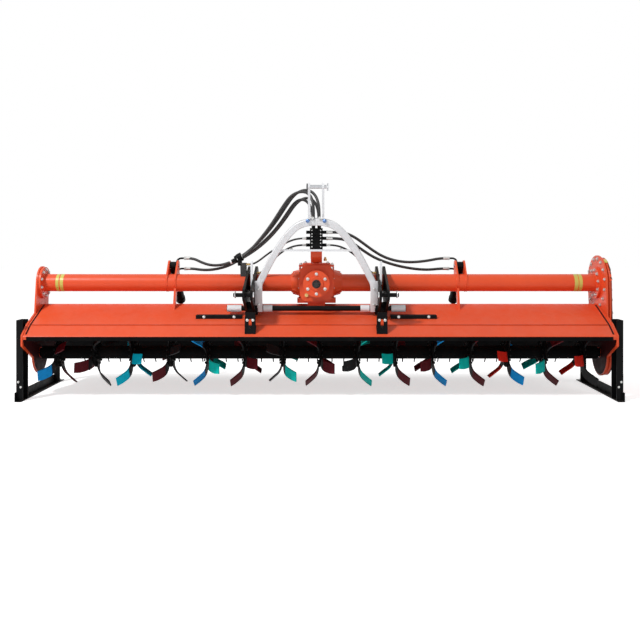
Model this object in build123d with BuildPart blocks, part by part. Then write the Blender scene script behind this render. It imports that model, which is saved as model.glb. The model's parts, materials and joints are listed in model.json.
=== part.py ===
# A three-point mounted rotavator: gearbox and cross tubes over a pressed hood, one bladed
# rotor driven through a side gear case, and a rear levelling board held by two cylinders.
# X runs across the machine, +Y to its rear, +Z up, and the stands rest on Z = 0.
import os
from math import atan2, cos, degrees, hypot, pi, radians, sin, tan

from build123d import *

os.makedirs("parts", exist_ok=True)

# ---------------------------------------------------------------- driving dimensions
running_clearance = 0.05    # radial, shafts and pins in their bores

hood_half = 1961.0          # the hood sheet, from the middle to each end
hood_sheet = 5.0
hood_rim = 24.0             # each side plate's rim, which carries the hood's end
side_inner = hood_half + hood_rim    # inner face of each side plate
side_thick = 12.0
side_plate_rear_y = 856.0
middle_x = -24.0            # the gearbox and the hitch stand a little off the middle

tube_y = 400.0              # the cross tubes' axis
tube_z = 782.0
tube_radius = 62.0
tube_wall = 8.0
tube_flange_radius = 112.0
tube_flange_thick = 18.0

rotor_y = 350.0             # the rotor's axis
rotor_z = 290.0
rotor_tube_radius = 46.0
rotor_end_gap = 20.0        # rotor tube's end to the side plate
stub_radius = 30.0
stub_reach = 34.0           # from the side plate's inner face into the bearing
flange_count = 15
flange_pitch = 264.0
flange_radius = 104.0
flange_thick = 10.0

blade_thick = 9.0
blade_reach = 244.0         # rotor axis to the tip of the cutting edge
blade_side = 92.0           # how far the bent wing reaches from the flange
blade_bend_radius = 88.0
blade_bend_start = 116.0     # corner of the bend, out from the rotor's axis
blade_rake = 35.0           # the bend line leans back by this, in degrees
blade_root = 58.0
blade_half_width = 29.0
blades_each_hand = 3

hinge_y = 740.0             # the levelling board's hinge line
hinge_z = 508.0
hinge_rod_radius = 8.0
hinge_knuckle_radius = 15.0
hinge_knuckle_length = 60.0
hinge_knuckle_pitch = 750.0
board_end_gap = 11.0        # levelling board's end, inside the hood's end
board_half = hood_half - board_end_gap
board_sheet = 6.0
board_tip_y = 1068.0
board_tip_z = 168.0
board_lip = 30.0
tine_bar = 16.0
tine_count = 41
tine_pitch = 95.0
tine_radius = 5.0
tine_length = 72.0
tine_lean = 45.0            # below level, pointing to the rear

cylinder_x = 1035.0         # each lift cylinder, from the hitch's middle plane
head_pin_y = 455.0
head_pin_z = 905.0
cylinder_pin_radius = 12.5
barrel_radius = 31.0
barrel_start = 62.0         # head pin to the barrel's end cap
barrel_length = 400.0       # head pin to the gland's face
eye_width = 44.0
ear_thick = 12.0
ear_gap = 50.0
rod_radius = 16.0
rod_eye_slack = 6.0         # the open end of the closed linkage
lug_along = 220.0           # rod pin, along the board from the hinge
lug_above = 110.0           # and above the board

hitch_half = 490.0          # outer faces of the hitch plates, from the hitch's middle
hitch_plate = 16.0
hitch_plate_gap = 36.0
link_pin_y = -6.0
link_pin_z = 718.0
link_pin_radius = 14.25
link_pin_reach = 62.0
cross_shaft_y = 222.0
cross_shaft_z = 612.0
cross_shaft_radius = 18.0
cross_shaft_half = 622.0
sleeve_radius = 24.0

arch_leg_x = 398.0
arch_tube = 46.0
arch_top_z = 1236.0
arch_knee = 175.0            # from the cross shaft, up the leaning plane
arch_shoulder = 548.0
arch_shoulder_x = 205.0
arch_top_y = 62.0
top_pin_radius = 12.5
top_pin_y = 4.0
top_pin_z = 1441.0
mast_ear_gap = 78.0
mast_ear_thick = 16.0

gearbox_width = 230.0
gearbox_depth = 236.0
gearbox_height = 252.0
saddle_half = 62.0
saddle_front_y = 318.0
saddle_rear_y = 362.0
input_face_y = 196.0
pto_radius = 19.0
pto_reach = 96.0

shelf_z = 1008.0             # white shelf across the arch, under the valve block
shelf_thick = 14.0
shelf_half = 300.0
shelf_depth = 96.0
block_width = 88.0
block_depth = 66.0
block_height = 146.0
side_port_heights = (30.0, 76.0, 118.0)
port_length = 26.0
tie_width = 78.0
deck_rail_start = 514.0
deck_rail_length = 318.0
deck_rail_y = 178.0
deck_rail_depth = 46.0
slot_plate_start = 406.0
slot_plate_width = 73.0
slot_plate_y = 20.0
slot_plate_top_z = 572.0
tube_post_x = 1000.0
clamp_x = -566.0
clamp_width = 40.0
clamp_z = 925.0

pipe_radius = 7.0           # bent steel pipes on each barrel's ports
pipe_inner_x = 60.0         # from the cylinder's middle to the pipe's open end
pipe_bend = 30.0
# Each port: (along the barrel from the head pin, rise of its pipe above the barrel).
port_table = ((80.0, 110.0), (140.0, 60.0))

stand_front_y = 40.0
stand_rear_y = 797.0
stand_channel = 100.0
stand_width = 45.0
stand_top_z = 546.0
rail_height = 63.0
rail_rear_y = 902.0
rail_wall = 6.0

# ---------------------------------------------------------------- worked-out places
side_outer = side_inner + side_thick
board_run_y = board_tip_y - hinge_y
board_run_z = board_tip_z - hinge_z
board_run = hypot(board_run_y, board_run_z)
along_y = board_run_y / board_run
along_z = board_run_z / board_run
rod_pin_y = hinge_y + lug_along * along_y - lug_above * along_z
rod_pin_z = hinge_z + lug_along * along_z + lug_above * along_y
cylinder_run = hypot(rod_pin_y - head_pin_y, rod_pin_z - head_pin_z)
cylinder_angle = degrees(atan2(rod_pin_z - head_pin_z, rod_pin_y - head_pin_y))
tine_bar_y = board_tip_y + 20
tine_bar_z = board_tip_z - tine_bar / 2
link_boss_radius = 40.0
front_y = link_pin_y - link_boss_radius
rear_y = tine_bar_y + tine_length * cos(radians(tine_lean))
rear_y = rear_y + tine_radius * cos(radians(30)) * sin(radians(tine_lean))
machine_middle_y = (front_y + rear_y) / 2
mirror_sides = (("left", -1), ("right", 1))

# The hood's outer line from the front lip over the crest to the hinge: (y, z, corner radius).
hood_line = [
    (6, 418, 0),
    (0, 441, 9),
    (100, 508, 55),
    (392, 634, 90),
    (560, 606, 90),
    (716, 520, 0),
]


def slope_z(y):
    # Height of the hood's top on its long front slope.
    low_y, low_z, corner = hood_line[2]
    high_y, high_z, corner = hood_line[3]
    return low_z + (y - low_y) * (high_z - low_z) / (high_y - low_y)


def lip_z(y):
    # Height of the hood's top on the steep strip between its lip and the crease.
    low_y, low_z, corner = hood_line[1]
    high_y, high_z, corner = hood_line[2]
    return low_z + (y - low_y) * (high_z - low_z) / (high_y - low_y)


def across(x):
    # A sketch plane square to the machine's width; local x is +Y and local y is +Z.
    return Plane.YZ.offset(x)


def finish(piece, name):
    # Every piece is stored about the middle of the machine's length.
    stored = Pos(0, -machine_middle_y, 0) * piece.part
    stored.label = name
    export_step(stored, f"parts/{name}.step")


# The hood sheet's section, shared by the hood and the rims that carry its ends.
with BuildSketch() as hood_section:
    with BuildLine():
        FilletPolyline(
            *[(y, z) for y, z, corner in hood_line],
            radius=[corner for y, z, corner in hood_line[1:-1]],
        )
        offset(amount=hood_sheet, side=Side.RIGHT)
    make_face()

# ---------------------------------------------------------------- cross tubes
tube_start = gearbox_width / 2 + 62
for side_name, side in mirror_sides:
    inner_x = middle_x + side * tube_start
    outer_x = side * side_inner
    with BuildPart() as cross_tube:
        with BuildSketch(across(inner_x)):
            with Locations((tube_y, tube_z)):
                Circle(tube_radius)
                Circle(tube_radius - tube_wall, mode=Mode.SUBTRACT)
        extrude(amount=outer_x - inner_x)
        with BuildSketch(across(outer_x - side * tube_flange_thick)):
            with Locations((tube_y, tube_z)):
                Circle(tube_flange_radius)
                Circle(tube_radius, mode=Mode.SUBTRACT)
        extrude(amount=side * tube_flange_thick)
    finish(cross_tube, f"{side_name}_cross_tube")

# ---------------------------------------------------------------- gearbox
gearbox_foot_z = tube_z - gearbox_height / 2
with BuildPart() as gearbox:
    with BuildSketch(Plane.XZ.offset(-(tube_y - gearbox_depth / 2))):
        with Locations((middle_x, tube_z)):
            RectangleRounded(gearbox_width, gearbox_height, 46)
    extrude(amount=-gearbox_depth)
    for side in (-1, 1):
        with BuildSketch(across(middle_x + side * gearbox_width / 2)):
            with Locations((tube_y, tube_z)):
                Circle(100)
        with BuildSketch(across(middle_x + side * tube_start)):
            with Locations((tube_y, tube_z)):
                Circle(tube_radius + 8)
        loft()
    with BuildSketch(Plane.XZ.offset(-input_face_y)):
        with Locations((middle_x, tube_z)):
            Circle(92)
    extrude(amount=-(tube_y - input_face_y))
    with BuildSketch(Plane.XY.offset(tube_z + gearbox_height / 2 - 14)):
        with Locations((middle_x, tube_y)):
            RectangleRounded(196, 190, 30)
    extrude(amount=30)
    with BuildSketch(Plane.XY.offset(gearbox_foot_z - 14)):
        with Locations((middle_x, tube_y)):
            RectangleRounded(gearbox_width + 44, 150, 16)
    extrude(amount=34)
    # saddle that seats the gearbox on the hood's front slope
    with BuildSketch(across(middle_x - saddle_half)):
        with BuildLine():
            Polyline(
                (saddle_front_y, slope_z(saddle_front_y)),
                (saddle_rear_y, slope_z(saddle_rear_y)),
                (saddle_rear_y, gearbox_foot_z),
                (saddle_front_y, gearbox_foot_z),
                close=True,
            )
        make_face()
    extrude(amount=2 * saddle_half)
    with Locations(Location((middle_x, input_face_y - 1, tube_z), (90, 0, 0))):
        Hole(pto_radius + running_clearance, depth=60)
finish(gearbox, "gearbox")

# The drive shaft in the gearbox's nose, with its six splines.
with BuildPart() as pto_shaft:
    with BuildSketch(Plane.XZ.offset(-(input_face_y + 50))):
        with Locations((middle_x, tube_z)):
            Circle(pto_radius)
    extrude(amount=pto_reach + 50)
    with BuildSketch(Plane.XZ.offset(-(input_face_y - 20))):
        with Locations((middle_x, tube_z)):
            with PolarLocations(pto_radius, 6):
                Rectangle(8, 9)
    extrude(amount=pto_reach - 20, mode=Mode.SUBTRACT)
finish(pto_shaft, "pto_shaft")

# ---------------------------------------------------------------- hood
with BuildPart() as hood:
    with BuildSketch(across(-hood_half)):
        add(hood_section.sketch)
    extrude(amount=2 * hood_half)
hood_underside = hood.part
knuckle_places = [hinge_knuckle_pitch * (step - 2.5) for step in range(6)]
with BuildPart() as hood:
    add(hood_underside)
    for place in knuckle_places:
        with BuildSketch(across(place - hinge_knuckle_length / 2)):
            with Locations((hinge_y, hinge_z)):
                Circle(hinge_knuckle_radius)
            with BuildLine():
                Polyline(
                    (706, 526),
                    (hinge_y + 4, hinge_z + hinge_knuckle_radius - 1),
                    (hinge_y - 4, hinge_z),
                    (700, 520),
                    close=True,
                )
            make_face()
            with Locations((hinge_y, hinge_z)):
                Circle(hinge_rod_radius, mode=Mode.SUBTRACT)
        extrude(amount=hinge_knuckle_length)
finish(hood, "hood")

with BuildPart() as hinge_rod:
    with BuildSketch(across(-board_half)):
        with Locations((hinge_y, hinge_z)):
            Circle(hinge_rod_radius)
    extrude(amount=2 * board_half)
finish(hinge_rod, "hinge_rod")

# ---------------------------------------------------------------- side plates and bearings
# Each end: (side, head radius on the tube, lobe radius on the rotor).
end_table = [("left", -1, 118.0, 146.0), ("right", 1, 196.0, 164.0)]
rim_lift = 6.0
for side_name, side, head_radius, lobe_radius in end_table:
    with BuildPart() as side_plate:
        with BuildSketch(across(side * side_inner)):


            with BuildLine():
                Polyline(
                    (0, 376),
                    (0, 441 + rim_lift),
                    (98, 508 + rim_lift),
                    (392, 634 + rim_lift),
                    (560, 606 + rim_lift),
                    (735, 522 + rim_lift),
                    (side_plate_rear_y, 440),
                    (side_plate_rear_y, 330),
                    (640, 250),
                    (240, 250),
                    close=True,
                )
            make_face()
        extrude(amount=side * side_thick)
        with BuildSketch(across(side * side_inner)):
            with BuildLine():
                CenterArc((tube_y, tube_z), head_radius, 0, 360)
                CenterArc((rotor_y, rotor_z), lobe_radius, 0, 360)
            make_hull()
        extrude(amount=side * side_thick)
        # rim that carries the hood's end
        with BuildSketch(across(side * hood_half)):
            add(hood_section.sketch)
        extrude(amount=side * (side_inner - hood_half))
        with Locations(Location((side * side_inner, rotor_y, rotor_z), (0, 90, 0))):
            Hole(stub_radius + running_clearance)
    finish(side_plate, f"{side_name}_side_plate")

with BuildPart() as left_bearing:
    with BuildSketch(across(-side_outer)):
        with Locations((rotor_y, rotor_z)):
            Circle(80)
    extrude(amount=-16)
    with BuildSketch(across(-side_outer - 16)):
        with Locations((rotor_y, rotor_z)):
            Circle(58)
    extrude(amount=-20, taper=8)
    with BuildSketch(across(-side_outer)):
        with Locations((rotor_y, rotor_z)):
            Circle(stub_radius + running_clearance)
    extrude(amount=-(stub_reach - side_thick + 2), mode=Mode.SUBTRACT)
finish(left_bearing, "left_bearing")

case_neck = 12.0
case_depth = stand_width
with BuildPart() as gear_case:
    for inset, start, depth in [(12.0, 0.0, case_neck), (0.0, case_neck, case_depth - case_neck)]:
        with BuildSketch(across(side_outer + start)):
            with BuildLine():
                CenterArc((tube_y, tube_z), 180 - inset, 0, 360)
                CenterArc((rotor_y, rotor_z), 160 - inset, 0, 360)
            make_hull()
        extrude(amount=depth)
    fillet(gear_case.faces().sort_by(Axis.X)[-1].edges(), 12)
    with BuildSketch(across(side_outer)):
        with Locations((rotor_y, rotor_z)):
            Circle(stub_radius + running_clearance)
    extrude(amount=stub_reach - side_thick + 2, mode=Mode.SUBTRACT)
finish(gear_case, "gear_case")

# ---------------------------------------------------------------- rotor
rotor_half = side_inner - rotor_end_gap
flange_places = [flange_pitch * (step - (flange_count - 1) / 2) for step in range(flange_count)]
with BuildPart() as rotor_shaft:
    with BuildSketch(across(-rotor_half)):
        with Locations((rotor_y, rotor_z)):
            Circle(rotor_tube_radius)
    extrude(amount=2 * rotor_half)
    with BuildSketch(across(-side_inner - stub_reach)):
        with Locations((rotor_y, rotor_z)):
            Circle(stub_radius)
    extrude(amount=2 * (side_inner + stub_reach))
    for place in flange_places:
        with BuildSketch(across(place - flange_thick / 2)):
            with Locations((rotor_y, rotor_z)):
                Circle(flange_radius)
        extrude(amount=flange_thick)
finish(rotor_shaft, "rotor_shaft")

# One blade standing up from the axis: a flat shank whose outer part is bent sideways about
# a line that leans back, and an outline that sweeps back from the cutting edge.
rake_sin = sin(radians(blade_rake))
rake_cos = cos(radians(blade_rake))
wing_height = blade_reach * rake_cos - 8 * rake_sin
bend_plane = Plane(origin=(0, 0, 0), x_dir=(1, 0, 0), z_dir=(0, -rake_cos, rake_sin))


def make_blade(hand):
    # hand is +1 where the wing points along +X and -1 where it points along -X.
    face_x = hand * flange_thick / 2
    with BuildPart() as blade:
        with BuildSketch(bend_plane):
            with BuildLine():
                FilletPolyline(
                    (face_x, 30),
                    (face_x, blade_bend_start),
                    (face_x + hand * blade_side, wing_height),
                    radius=blade_bend_radius + blade_thick,
                )
                offset(amount=blade_thick, side=Side.RIGHT if hand > 0 else Side.LEFT)
            make_face()
        extrude(amount=140, both=True)
        with BuildSketch(across(-120)):
            with BuildLine():
                Line((-blade_half_width, blade_root), (-blade_half_width, 150))
                ThreePointArc((-blade_half_width, 150), (-24, 196), (-6, blade_reach))
                Line((-6, blade_reach), (56, 206))
                ThreePointArc((56, 206), (37, 158), (blade_half_width, 116))
                Line((blade_half_width, 116), (blade_half_width, blade_root))
                Line((blade_half_width, blade_root), (-blade_half_width, blade_root))
            make_face()
        extrude(amount=240, mode=Mode.INTERSECT)
    return blade.part


# Where the first outer-hand blade of each flange points, in degrees forward of straight down.
flange_turns = [43, 62, 20, 40, 0, 10, 100, 0, 65, 80, 65, 70, 85, 60, 75]
for hand_name, hand in mirror_sides:
    blade = make_blade(hand)
    with BuildPart() as blades:
        for place, turn in zip(flange_places, flange_turns):
            for step in range(blades_each_hand):
                angle = 180 - turn + step * 120 + (60 if hand > 0 else 0)
                add(Pos(place, rotor_y, rotor_z) * Rot(angle, 0, 0) * blade)
    finish(blades, f"{hand_name}_hand_blades")

# ---------------------------------------------------------------- levelling board
with BuildPart() as board:
    with BuildSketch(across(-board_half)):
        with BuildLine():
            FilletPolyline(
                (hinge_y + 8 * along_y, hinge_z + 8 * along_z),
                (board_tip_y, board_tip_z),
                (board_tip_y + board_lip, board_tip_z),
                radius=18,
            )
            offset(amount=board_sheet, side=Side.LEFT)
        make_face()
    extrude(amount=2 * board_half)
    for place in knuckle_places:
        with BuildSketch(across(place - hinge_knuckle_length / 2 - 5)):
            with Locations((hinge_y, hinge_z)):
                Circle(hinge_knuckle_radius + 12)
        extrude(amount=hinge_knuckle_length + 10, mode=Mode.SUBTRACT)
    sleeve_length = hinge_knuckle_pitch - hinge_knuckle_length - 10
    for place in knuckle_places[:-1]:
        with BuildSketch(across(place + hinge_knuckle_length / 2 + 5)):
            with Locations((hinge_y, hinge_z)):
                Circle(hinge_knuckle_radius)
        extrude(amount=sleeve_length)
    with Locations(Location((0, hinge_y, hinge_z), (0, 90, 0))):
        Hole(hinge_rod_radius + running_clearance)
    # Lug pairs that carry the rods' pins.
    for side in (-1, 1):
        for offset_x in (-ear_gap / 2 - ear_thick, ear_gap / 2):
            with BuildSketch(across(middle_x + side * cylinder_x + offset_x)):
                with BuildLine():
                    Polyline(
                        (hinge_y + 120 * along_y - 3 * along_z, hinge_z + 120 * along_z + 3 * along_y),
                        (hinge_y + 330 * along_y - 3 * along_z, hinge_z + 330 * along_z + 3 * along_y),
                        (rod_pin_y + 26 * along_y, rod_pin_z + 26 * along_z),
                        (rod_pin_y - 26 * along_y, rod_pin_z - 26 * along_z),
                        close=True,
                    )
                make_face()
                with Locations((rod_pin_y, rod_pin_z)):
                    Circle(28)
                    Circle(cylinder_pin_radius, mode=Mode.SUBTRACT)
            extrude(amount=ear_thick)
finish(board, "levelling_board")

with BuildPart() as rod_pins:
    for side in (-1, 1):
        with BuildSketch(across(middle_x + side * cylinder_x - ear_gap / 2 - ear_thick - 6)):
            with Locations((rod_pin_y, rod_pin_z)):
                Circle(cylinder_pin_radius)
        extrude(amount=ear_gap + 2 * ear_thick + 12)
finish(rod_pins, "rod_pins")

with BuildPart() as tines:
    with BuildSketch(across(-board_half)):
        with Locations((tine_bar_y, tine_bar_z)):
            Rectangle(tine_bar, tine_bar)
    extrude(amount=2 * board_half)
    for step in range(tine_count):
        place = tine_pitch * (step - (tine_count - 1) / 2)
        tip_plane = Plane(
            origin=(place, tine_bar_y, tine_bar_z),
            x_dir=(1, 0, 0),
            z_dir=(0, cos(radians(tine_lean)), -sin(radians(tine_lean))),
        )
        with BuildSketch(tip_plane):
            RegularPolygon(tine_radius, 6)
        extrude(amount=tine_length)
finish(tines, "board_tines")

# ---------------------------------------------------------------- lift cylinders
for side_name, side in mirror_sides:
    centre_x = middle_x + side * cylinder_x
    with BuildPart() as bracket:
        for offset_x in (-ear_gap / 2 - ear_thick, ear_gap / 2):
            with BuildSketch(across(centre_x + offset_x)):
                with BuildLine():
                    CenterArc((head_pin_y, head_pin_z), 36, 0, 360)
                    CenterArc((tube_y + 6, tube_z + 10), 72, 0, 360)
                make_hull()
                with Locations((tube_y, tube_z)):
                    Circle(tube_radius, mode=Mode.SUBTRACT)
                    with Locations((0, -80)):
                        Rectangle(260, 120, mode=Mode.SUBTRACT)
                with Locations((head_pin_y, head_pin_z)):
                    Circle(cylinder_pin_radius, mode=Mode.SUBTRACT)
            extrude(amount=ear_thick)
    finish(bracket, f"{side_name}_cylinder_bracket")

    with BuildPart() as head_pin:
        with BuildSketch(across(centre_x - ear_gap / 2 - ear_thick - 6)):
            with Locations((head_pin_y, head_pin_z)):
                Circle(cylinder_pin_radius)
        extrude(amount=ear_gap + 2 * ear_thick + 12)
    finish(head_pin, f"{side_name}_head_pin")

    axis_plane = Plane(
        origin=(centre_x, head_pin_y, head_pin_z),
        x_dir=(1, 0, 0),
        z_dir=(0, cos(radians(cylinder_angle)), sin(radians(cylinder_angle))),
    )
    with BuildPart() as barrel:
        with BuildSketch(across(centre_x - eye_width / 2)):
            with Locations((head_pin_y, head_pin_z)):
                Circle(27)
        extrude(amount=eye_width)
        with BuildSketch(axis_plane):
            Rectangle(eye_width, 46)
        extrude(amount=barrel_start + 8)
        with BuildSketch(axis_plane.offset(barrel_start)):
            Circle(barrel_radius)
        extrude(amount=barrel_length - barrel_start)
        with BuildSketch(axis_plane.offset(barrel_length - 36)):
            Circle(barrel_radius + 4)
        extrude(amount=36)
        with Locations(Location((centre_x, head_pin_y, head_pin_z), (0, 90, 0))):
            Hole(cylinder_pin_radius + running_clearance)
        for port_along, pipe_rise in port_table:
            base_y = head_pin_y + port_along * cos(radians(cylinder_angle))
            base_z = head_pin_z + port_along * sin(radians(cylinder_angle))
            up_y = -sin(radians(cylinder_angle))
            up_z = cos(radians(cylinder_angle))
            top = barrel_radius + pipe_rise
            with BuildLine() as pipe_path:
                FilletPolyline(
                    (centre_x, base_y + 20 * up_y, base_z + 20 * up_z),
                    (centre_x, base_y + top * up_y, base_z + top * up_z),
                    (centre_x - side * pipe_inner_x, base_y + top * up_y, base_z + top * up_z),
                    radius=pipe_bend,
                )
            with BuildSketch(Plane(origin=pipe_path.line @ 0, z_dir=pipe_path.line % 0)):
                Circle(pipe_radius)
            sweep(path=pipe_path.line)
            with BuildSketch(Plane(origin=pipe_path.line @ 0, z_dir=pipe_path.line % 0)):
                Circle(12)
            extrude(amount=barrel_radius - 20 + 16)
        with BuildSketch(axis_plane.offset(60)):
            Circle(rod_radius + running_clearance)
        extrude(amount=barrel_length - 60, mode=Mode.SUBTRACT)
    finish(barrel, f"{side_name}_barrel")

    with BuildPart() as rod:
        with BuildSketch(axis_plane.offset(180)):
            Circle(rod_radius)
        extrude(amount=cylinder_run - 180 - 22)
        with BuildSketch(across(centre_x - eye_width / 2)):
            with Locations((rod_pin_y, rod_pin_z)):
                Circle(28)
        extrude(amount=eye_width)
        with Locations(Location((centre_x, rod_pin_y, rod_pin_z), (0, 90, 0))):
            Hole(cylinder_pin_radius + rod_eye_slack)
    finish(rod, f"{side_name}_rod")

# ---------------------------------------------------------------- hitch
arch_lean = (arch_top_y - cross_shaft_y) / (arch_top_z - cross_shaft_z)
for side_name, side in mirror_sides:
    outer = middle_x + side * hitch_half
    plate_faces = (outer, outer - side * (hitch_plate_gap + hitch_plate))
    with BuildPart() as hitch_bracket:
        for face in plate_faces:
            with BuildSketch(across(face)):
                with BuildLine():
                    CenterArc((link_pin_y, link_pin_z), link_boss_radius, 0, 360)
                    CenterArc((tube_y, tube_z + 10), tube_radius + 46, 0, 360)
                    CenterArc((cross_shaft_y, cross_shaft_z), 34, 0, 360)
                make_hull()
                with Locations((tube_y, tube_z)):
                    Circle(tube_radius, mode=Mode.SUBTRACT)
                with Locations((cross_shaft_y, cross_shaft_z)):
                    Circle(cross_shaft_radius, mode=Mode.SUBTRACT)
                with Locations((link_pin_y, link_pin_z)):
                    Circle(link_pin_radius, mode=Mode.SUBTRACT)
            extrude(amount=-side * hitch_plate)
    finish(hitch_bracket, f"{side_name}_hitch_bracket")
    with BuildPart() as link_pin:
        with BuildSketch(across(outer + side * link_pin_reach)):
            with Locations((link_pin_y, link_pin_z)):
                Circle(link_pin_radius)
        extrude(amount=-side * (link_pin_reach + hitch_plate_gap + 2 * hitch_plate + 8))
        chamfer(link_pin.faces().sort_by(Axis.X)[-1 if side > 0 else 0].edges(), 3)
    finish(link_pin, f"{side_name}_link_pin")

with BuildPart() as cross_shaft:
    with BuildSketch(across(middle_x - cross_shaft_half)):
        with Locations((cross_shaft_y, cross_shaft_z)):
            Circle(cross_shaft_radius)
    extrude(amount=2 * cross_shaft_half)
finish(cross_shaft, "cross_shaft")

with BuildPart() as sleeves:
    for side in (-1, 1):
        for start, end in ((306, 368), (520, 618)):
            with BuildSketch(across(middle_x + side * start)):
                with Locations((cross_shaft_y, cross_shaft_z)):
                    Circle(sleeve_radius)
                    Circle(cross_shaft_radius, mode=Mode.SUBTRACT)
            extrude(amount=side * (end - start))
finish(sleeves, "shaft_sleeves")

arch_plane = Plane(
    origin=(middle_x, cross_shaft_y, cross_shaft_z),
    x_dir=(1, 0, 0),
    z_dir=(0, -1, arch_lean),
)
arch_run = hypot(arch_top_y - cross_shaft_y, arch_top_z - cross_shaft_z)
with BuildPart() as arch:
    with BuildSketch(arch_plane):
        with BuildLine():
            half = arch_tube / 2
            FilletPolyline(
                (-arch_leg_x, -6),
                (-arch_leg_x, arch_knee),
                (-arch_shoulder_x, arch_shoulder),
                (0, arch_run - half + 26),
                (arch_shoulder_x, arch_shoulder),
                (arch_leg_x, arch_knee),
                (arch_leg_x, -6),
                radius=[90, 110, 250, 110, 90],
            )
            offset(amount=half, side=Side.BOTH)
        make_face()
    extrude(amount=arch_tube / 2, both=True)
    with Locations(Location((0, cross_shaft_y, cross_shaft_z), (0, 90, 0))):
        Hole(cross_shaft_radius)
finish(arch, "arch")

with BuildPart() as mast_ears:
    for side in (-1, 1):
        with BuildSketch(across(middle_x + side * mast_ear_gap / 2)):
            with BuildLine():
                Polyline(
                    (arch_top_y - 30, arch_top_z - 10),
                    (top_pin_y - 24, top_pin_z),
                    (top_pin_y, top_pin_z + 26),
                    (top_pin_y + 24, top_pin_z),
                    (arch_top_y + 70, arch_top_z - 10),
                    close=True,
                )
            make_face()
            with Locations((top_pin_y, top_pin_z)):
                Circle(27)
                Circle(top_pin_radius, mode=Mode.SUBTRACT)
        extrude(amount=side * mast_ear_thick)
    add(arch.part, mode=Mode.SUBTRACT)
finish(mast_ears, "mast_ears")

with BuildPart() as top_pin:
    with BuildSketch(across(middle_x - mast_ear_gap / 2 - mast_ear_thick - 10)):
        with Locations((top_pin_y, top_pin_z)):
            Circle(top_pin_radius)
    extrude(amount=mast_ear_gap + 2 * mast_ear_thick + 24)
finish(top_pin, "top_link_pin")

# ---------------------------------------------------------------- headstock furniture
arch_y_at_shelf = cross_shaft_y + arch_lean * (shelf_z - cross_shaft_z)
with BuildPart() as valve_shelf:
    with BuildSketch(Plane.XY.offset(shelf_z)):
        with Locations((middle_x, arch_y_at_shelf + 34)):
            Rectangle(2 * shelf_half, shelf_depth)
    extrude(amount=shelf_thick)
    add(arch.part, mode=Mode.SUBTRACT)
shelf_middle = valve_shelf.solids().sort_by(SortBy.VOLUME)[-1]
with BuildPart() as valve_shelf:
    add(shelf_middle)
finish(valve_shelf, "valve_shelf")

block_y = arch_y_at_shelf + 60
block_z = shelf_z + shelf_thick
with BuildPart() as valve_block:
    with BuildSketch(Plane.XY.offset(block_z)):
        with Locations((middle_x, block_y)):
            Rectangle(block_width, block_depth)
    extrude(amount=block_height)
    chamfer(valve_block.edges().filter_by(Axis.Z), 5)
    # side ports in three rows, and two on top
    for port_z in side_port_heights:
        with BuildSketch(across(middle_x - block_width / 2 - port_length)):
            with Locations((block_y, block_z + port_z)):
                RegularPolygon(13, 6)
        extrude(amount=block_width + 2 * port_length)
    for port_x in (-20, 20):
        with BuildSketch(Plane.XY.offset(block_z + block_height - 1)):
            with Locations((middle_x + port_x, block_y)):
                RegularPolygon(13, 6)
        extrude(amount=port_length + 1)
finish(valve_block, "valve_block")

# The bracket that ties the headstock to the gearbox.
gearbox_top_z = tube_z + gearbox_height / 2 + 16
with BuildPart() as headstock_tie:
    with BuildSketch(across(middle_x - tie_width / 2)):
        with BuildLine():
            Polyline(
                (tube_y - 80, gearbox_top_z),
                (tube_y + 70, gearbox_top_z),
                (tube_y + 70, gearbox_top_z + 22),
                (arch_y_at_shelf + 80, shelf_z),
                (arch_y_at_shelf + 30, shelf_z),
                (arch_y_at_shelf + 30, shelf_z - 40),
                close=True,
            )
        make_face()
    extrude(amount=tie_width)
finish(headstock_tie, "headstock_tie")

# Black rails on the deck beside the hitch plates.
with BuildPart() as deck_rails:
    for side in (-1, 1):
        with BuildSketch(across(middle_x + side * deck_rail_start)):
            with BuildLine():
                Polyline(
                    (deck_rail_y, slope_z(deck_rail_y)),
                    (deck_rail_y + deck_rail_depth, slope_z(deck_rail_y + deck_rail_depth)),
                    (deck_rail_y + deck_rail_depth, slope_z(deck_rail_y + deck_rail_depth) + 8),
                    (deck_rail_y + 10, slope_z(deck_rail_y + 10) + 8),
                    (deck_rail_y + 10, slope_z(deck_rail_y) + 26),
                    (deck_rail_y, slope_z(deck_rail_y) + 26),
                    close=True,
                )
            make_face()
        extrude(amount=side * deck_rail_length)
finish(deck_rails, "deck_rails")

# Slotted plates that stand on the hood's front under the hitch plates.
with BuildPart() as slot_plates:
    for side in (-1, 1):
        with BuildSketch(across(middle_x + side * slot_plate_start)):
            with BuildLine():
                Polyline(
                    (slot_plate_y, lip_z(slot_plate_y)),
                    (slot_plate_y, slot_plate_top_z),
                    (slot_plate_y + 10, slot_plate_top_z),
                    (slot_plate_y + 10, lip_z(slot_plate_y + 10) + 14),
                    (slot_plate_y + 60, lip_z(slot_plate_y + 60) + 12),
                    (slot_plate_y + 60, lip_z(slot_plate_y + 60)),
                    close=True,
                )
            make_face()
        extrude(amount=side * slot_plate_width)
        with BuildSketch(Plane.XZ.offset(-slot_plate_y + 1)):
            slot_middle_x = middle_x + side * (slot_plate_start + slot_plate_width / 2)
            with Locations((slot_middle_x, slot_plate_top_z - 48)):
                SlotOverall(62, 20, rotation=90)
        extrude(amount=-14, mode=Mode.SUBTRACT)
finish(slot_plates, "slot_plates")

# Posts that carry the hood from the cross tubes.
with BuildPart() as tube_posts:
    for side in (-1, 1):
        with BuildSketch(across(middle_x + side * tube_post_x)):
            with BuildLine():
                Polyline(
                    (300, slope_z(300)),
                    (362, slope_z(362)),
                    (396, tube_z - tube_radius + 12),
                    (350, tube_z - tube_radius + 30),
                    close=True,
                )
            make_face()
            with Locations((tube_y, tube_z)):
                Circle(tube_radius, mode=Mode.SUBTRACT)
        extrude(amount=side * 14)
finish(tube_posts, "tube_posts")

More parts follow.
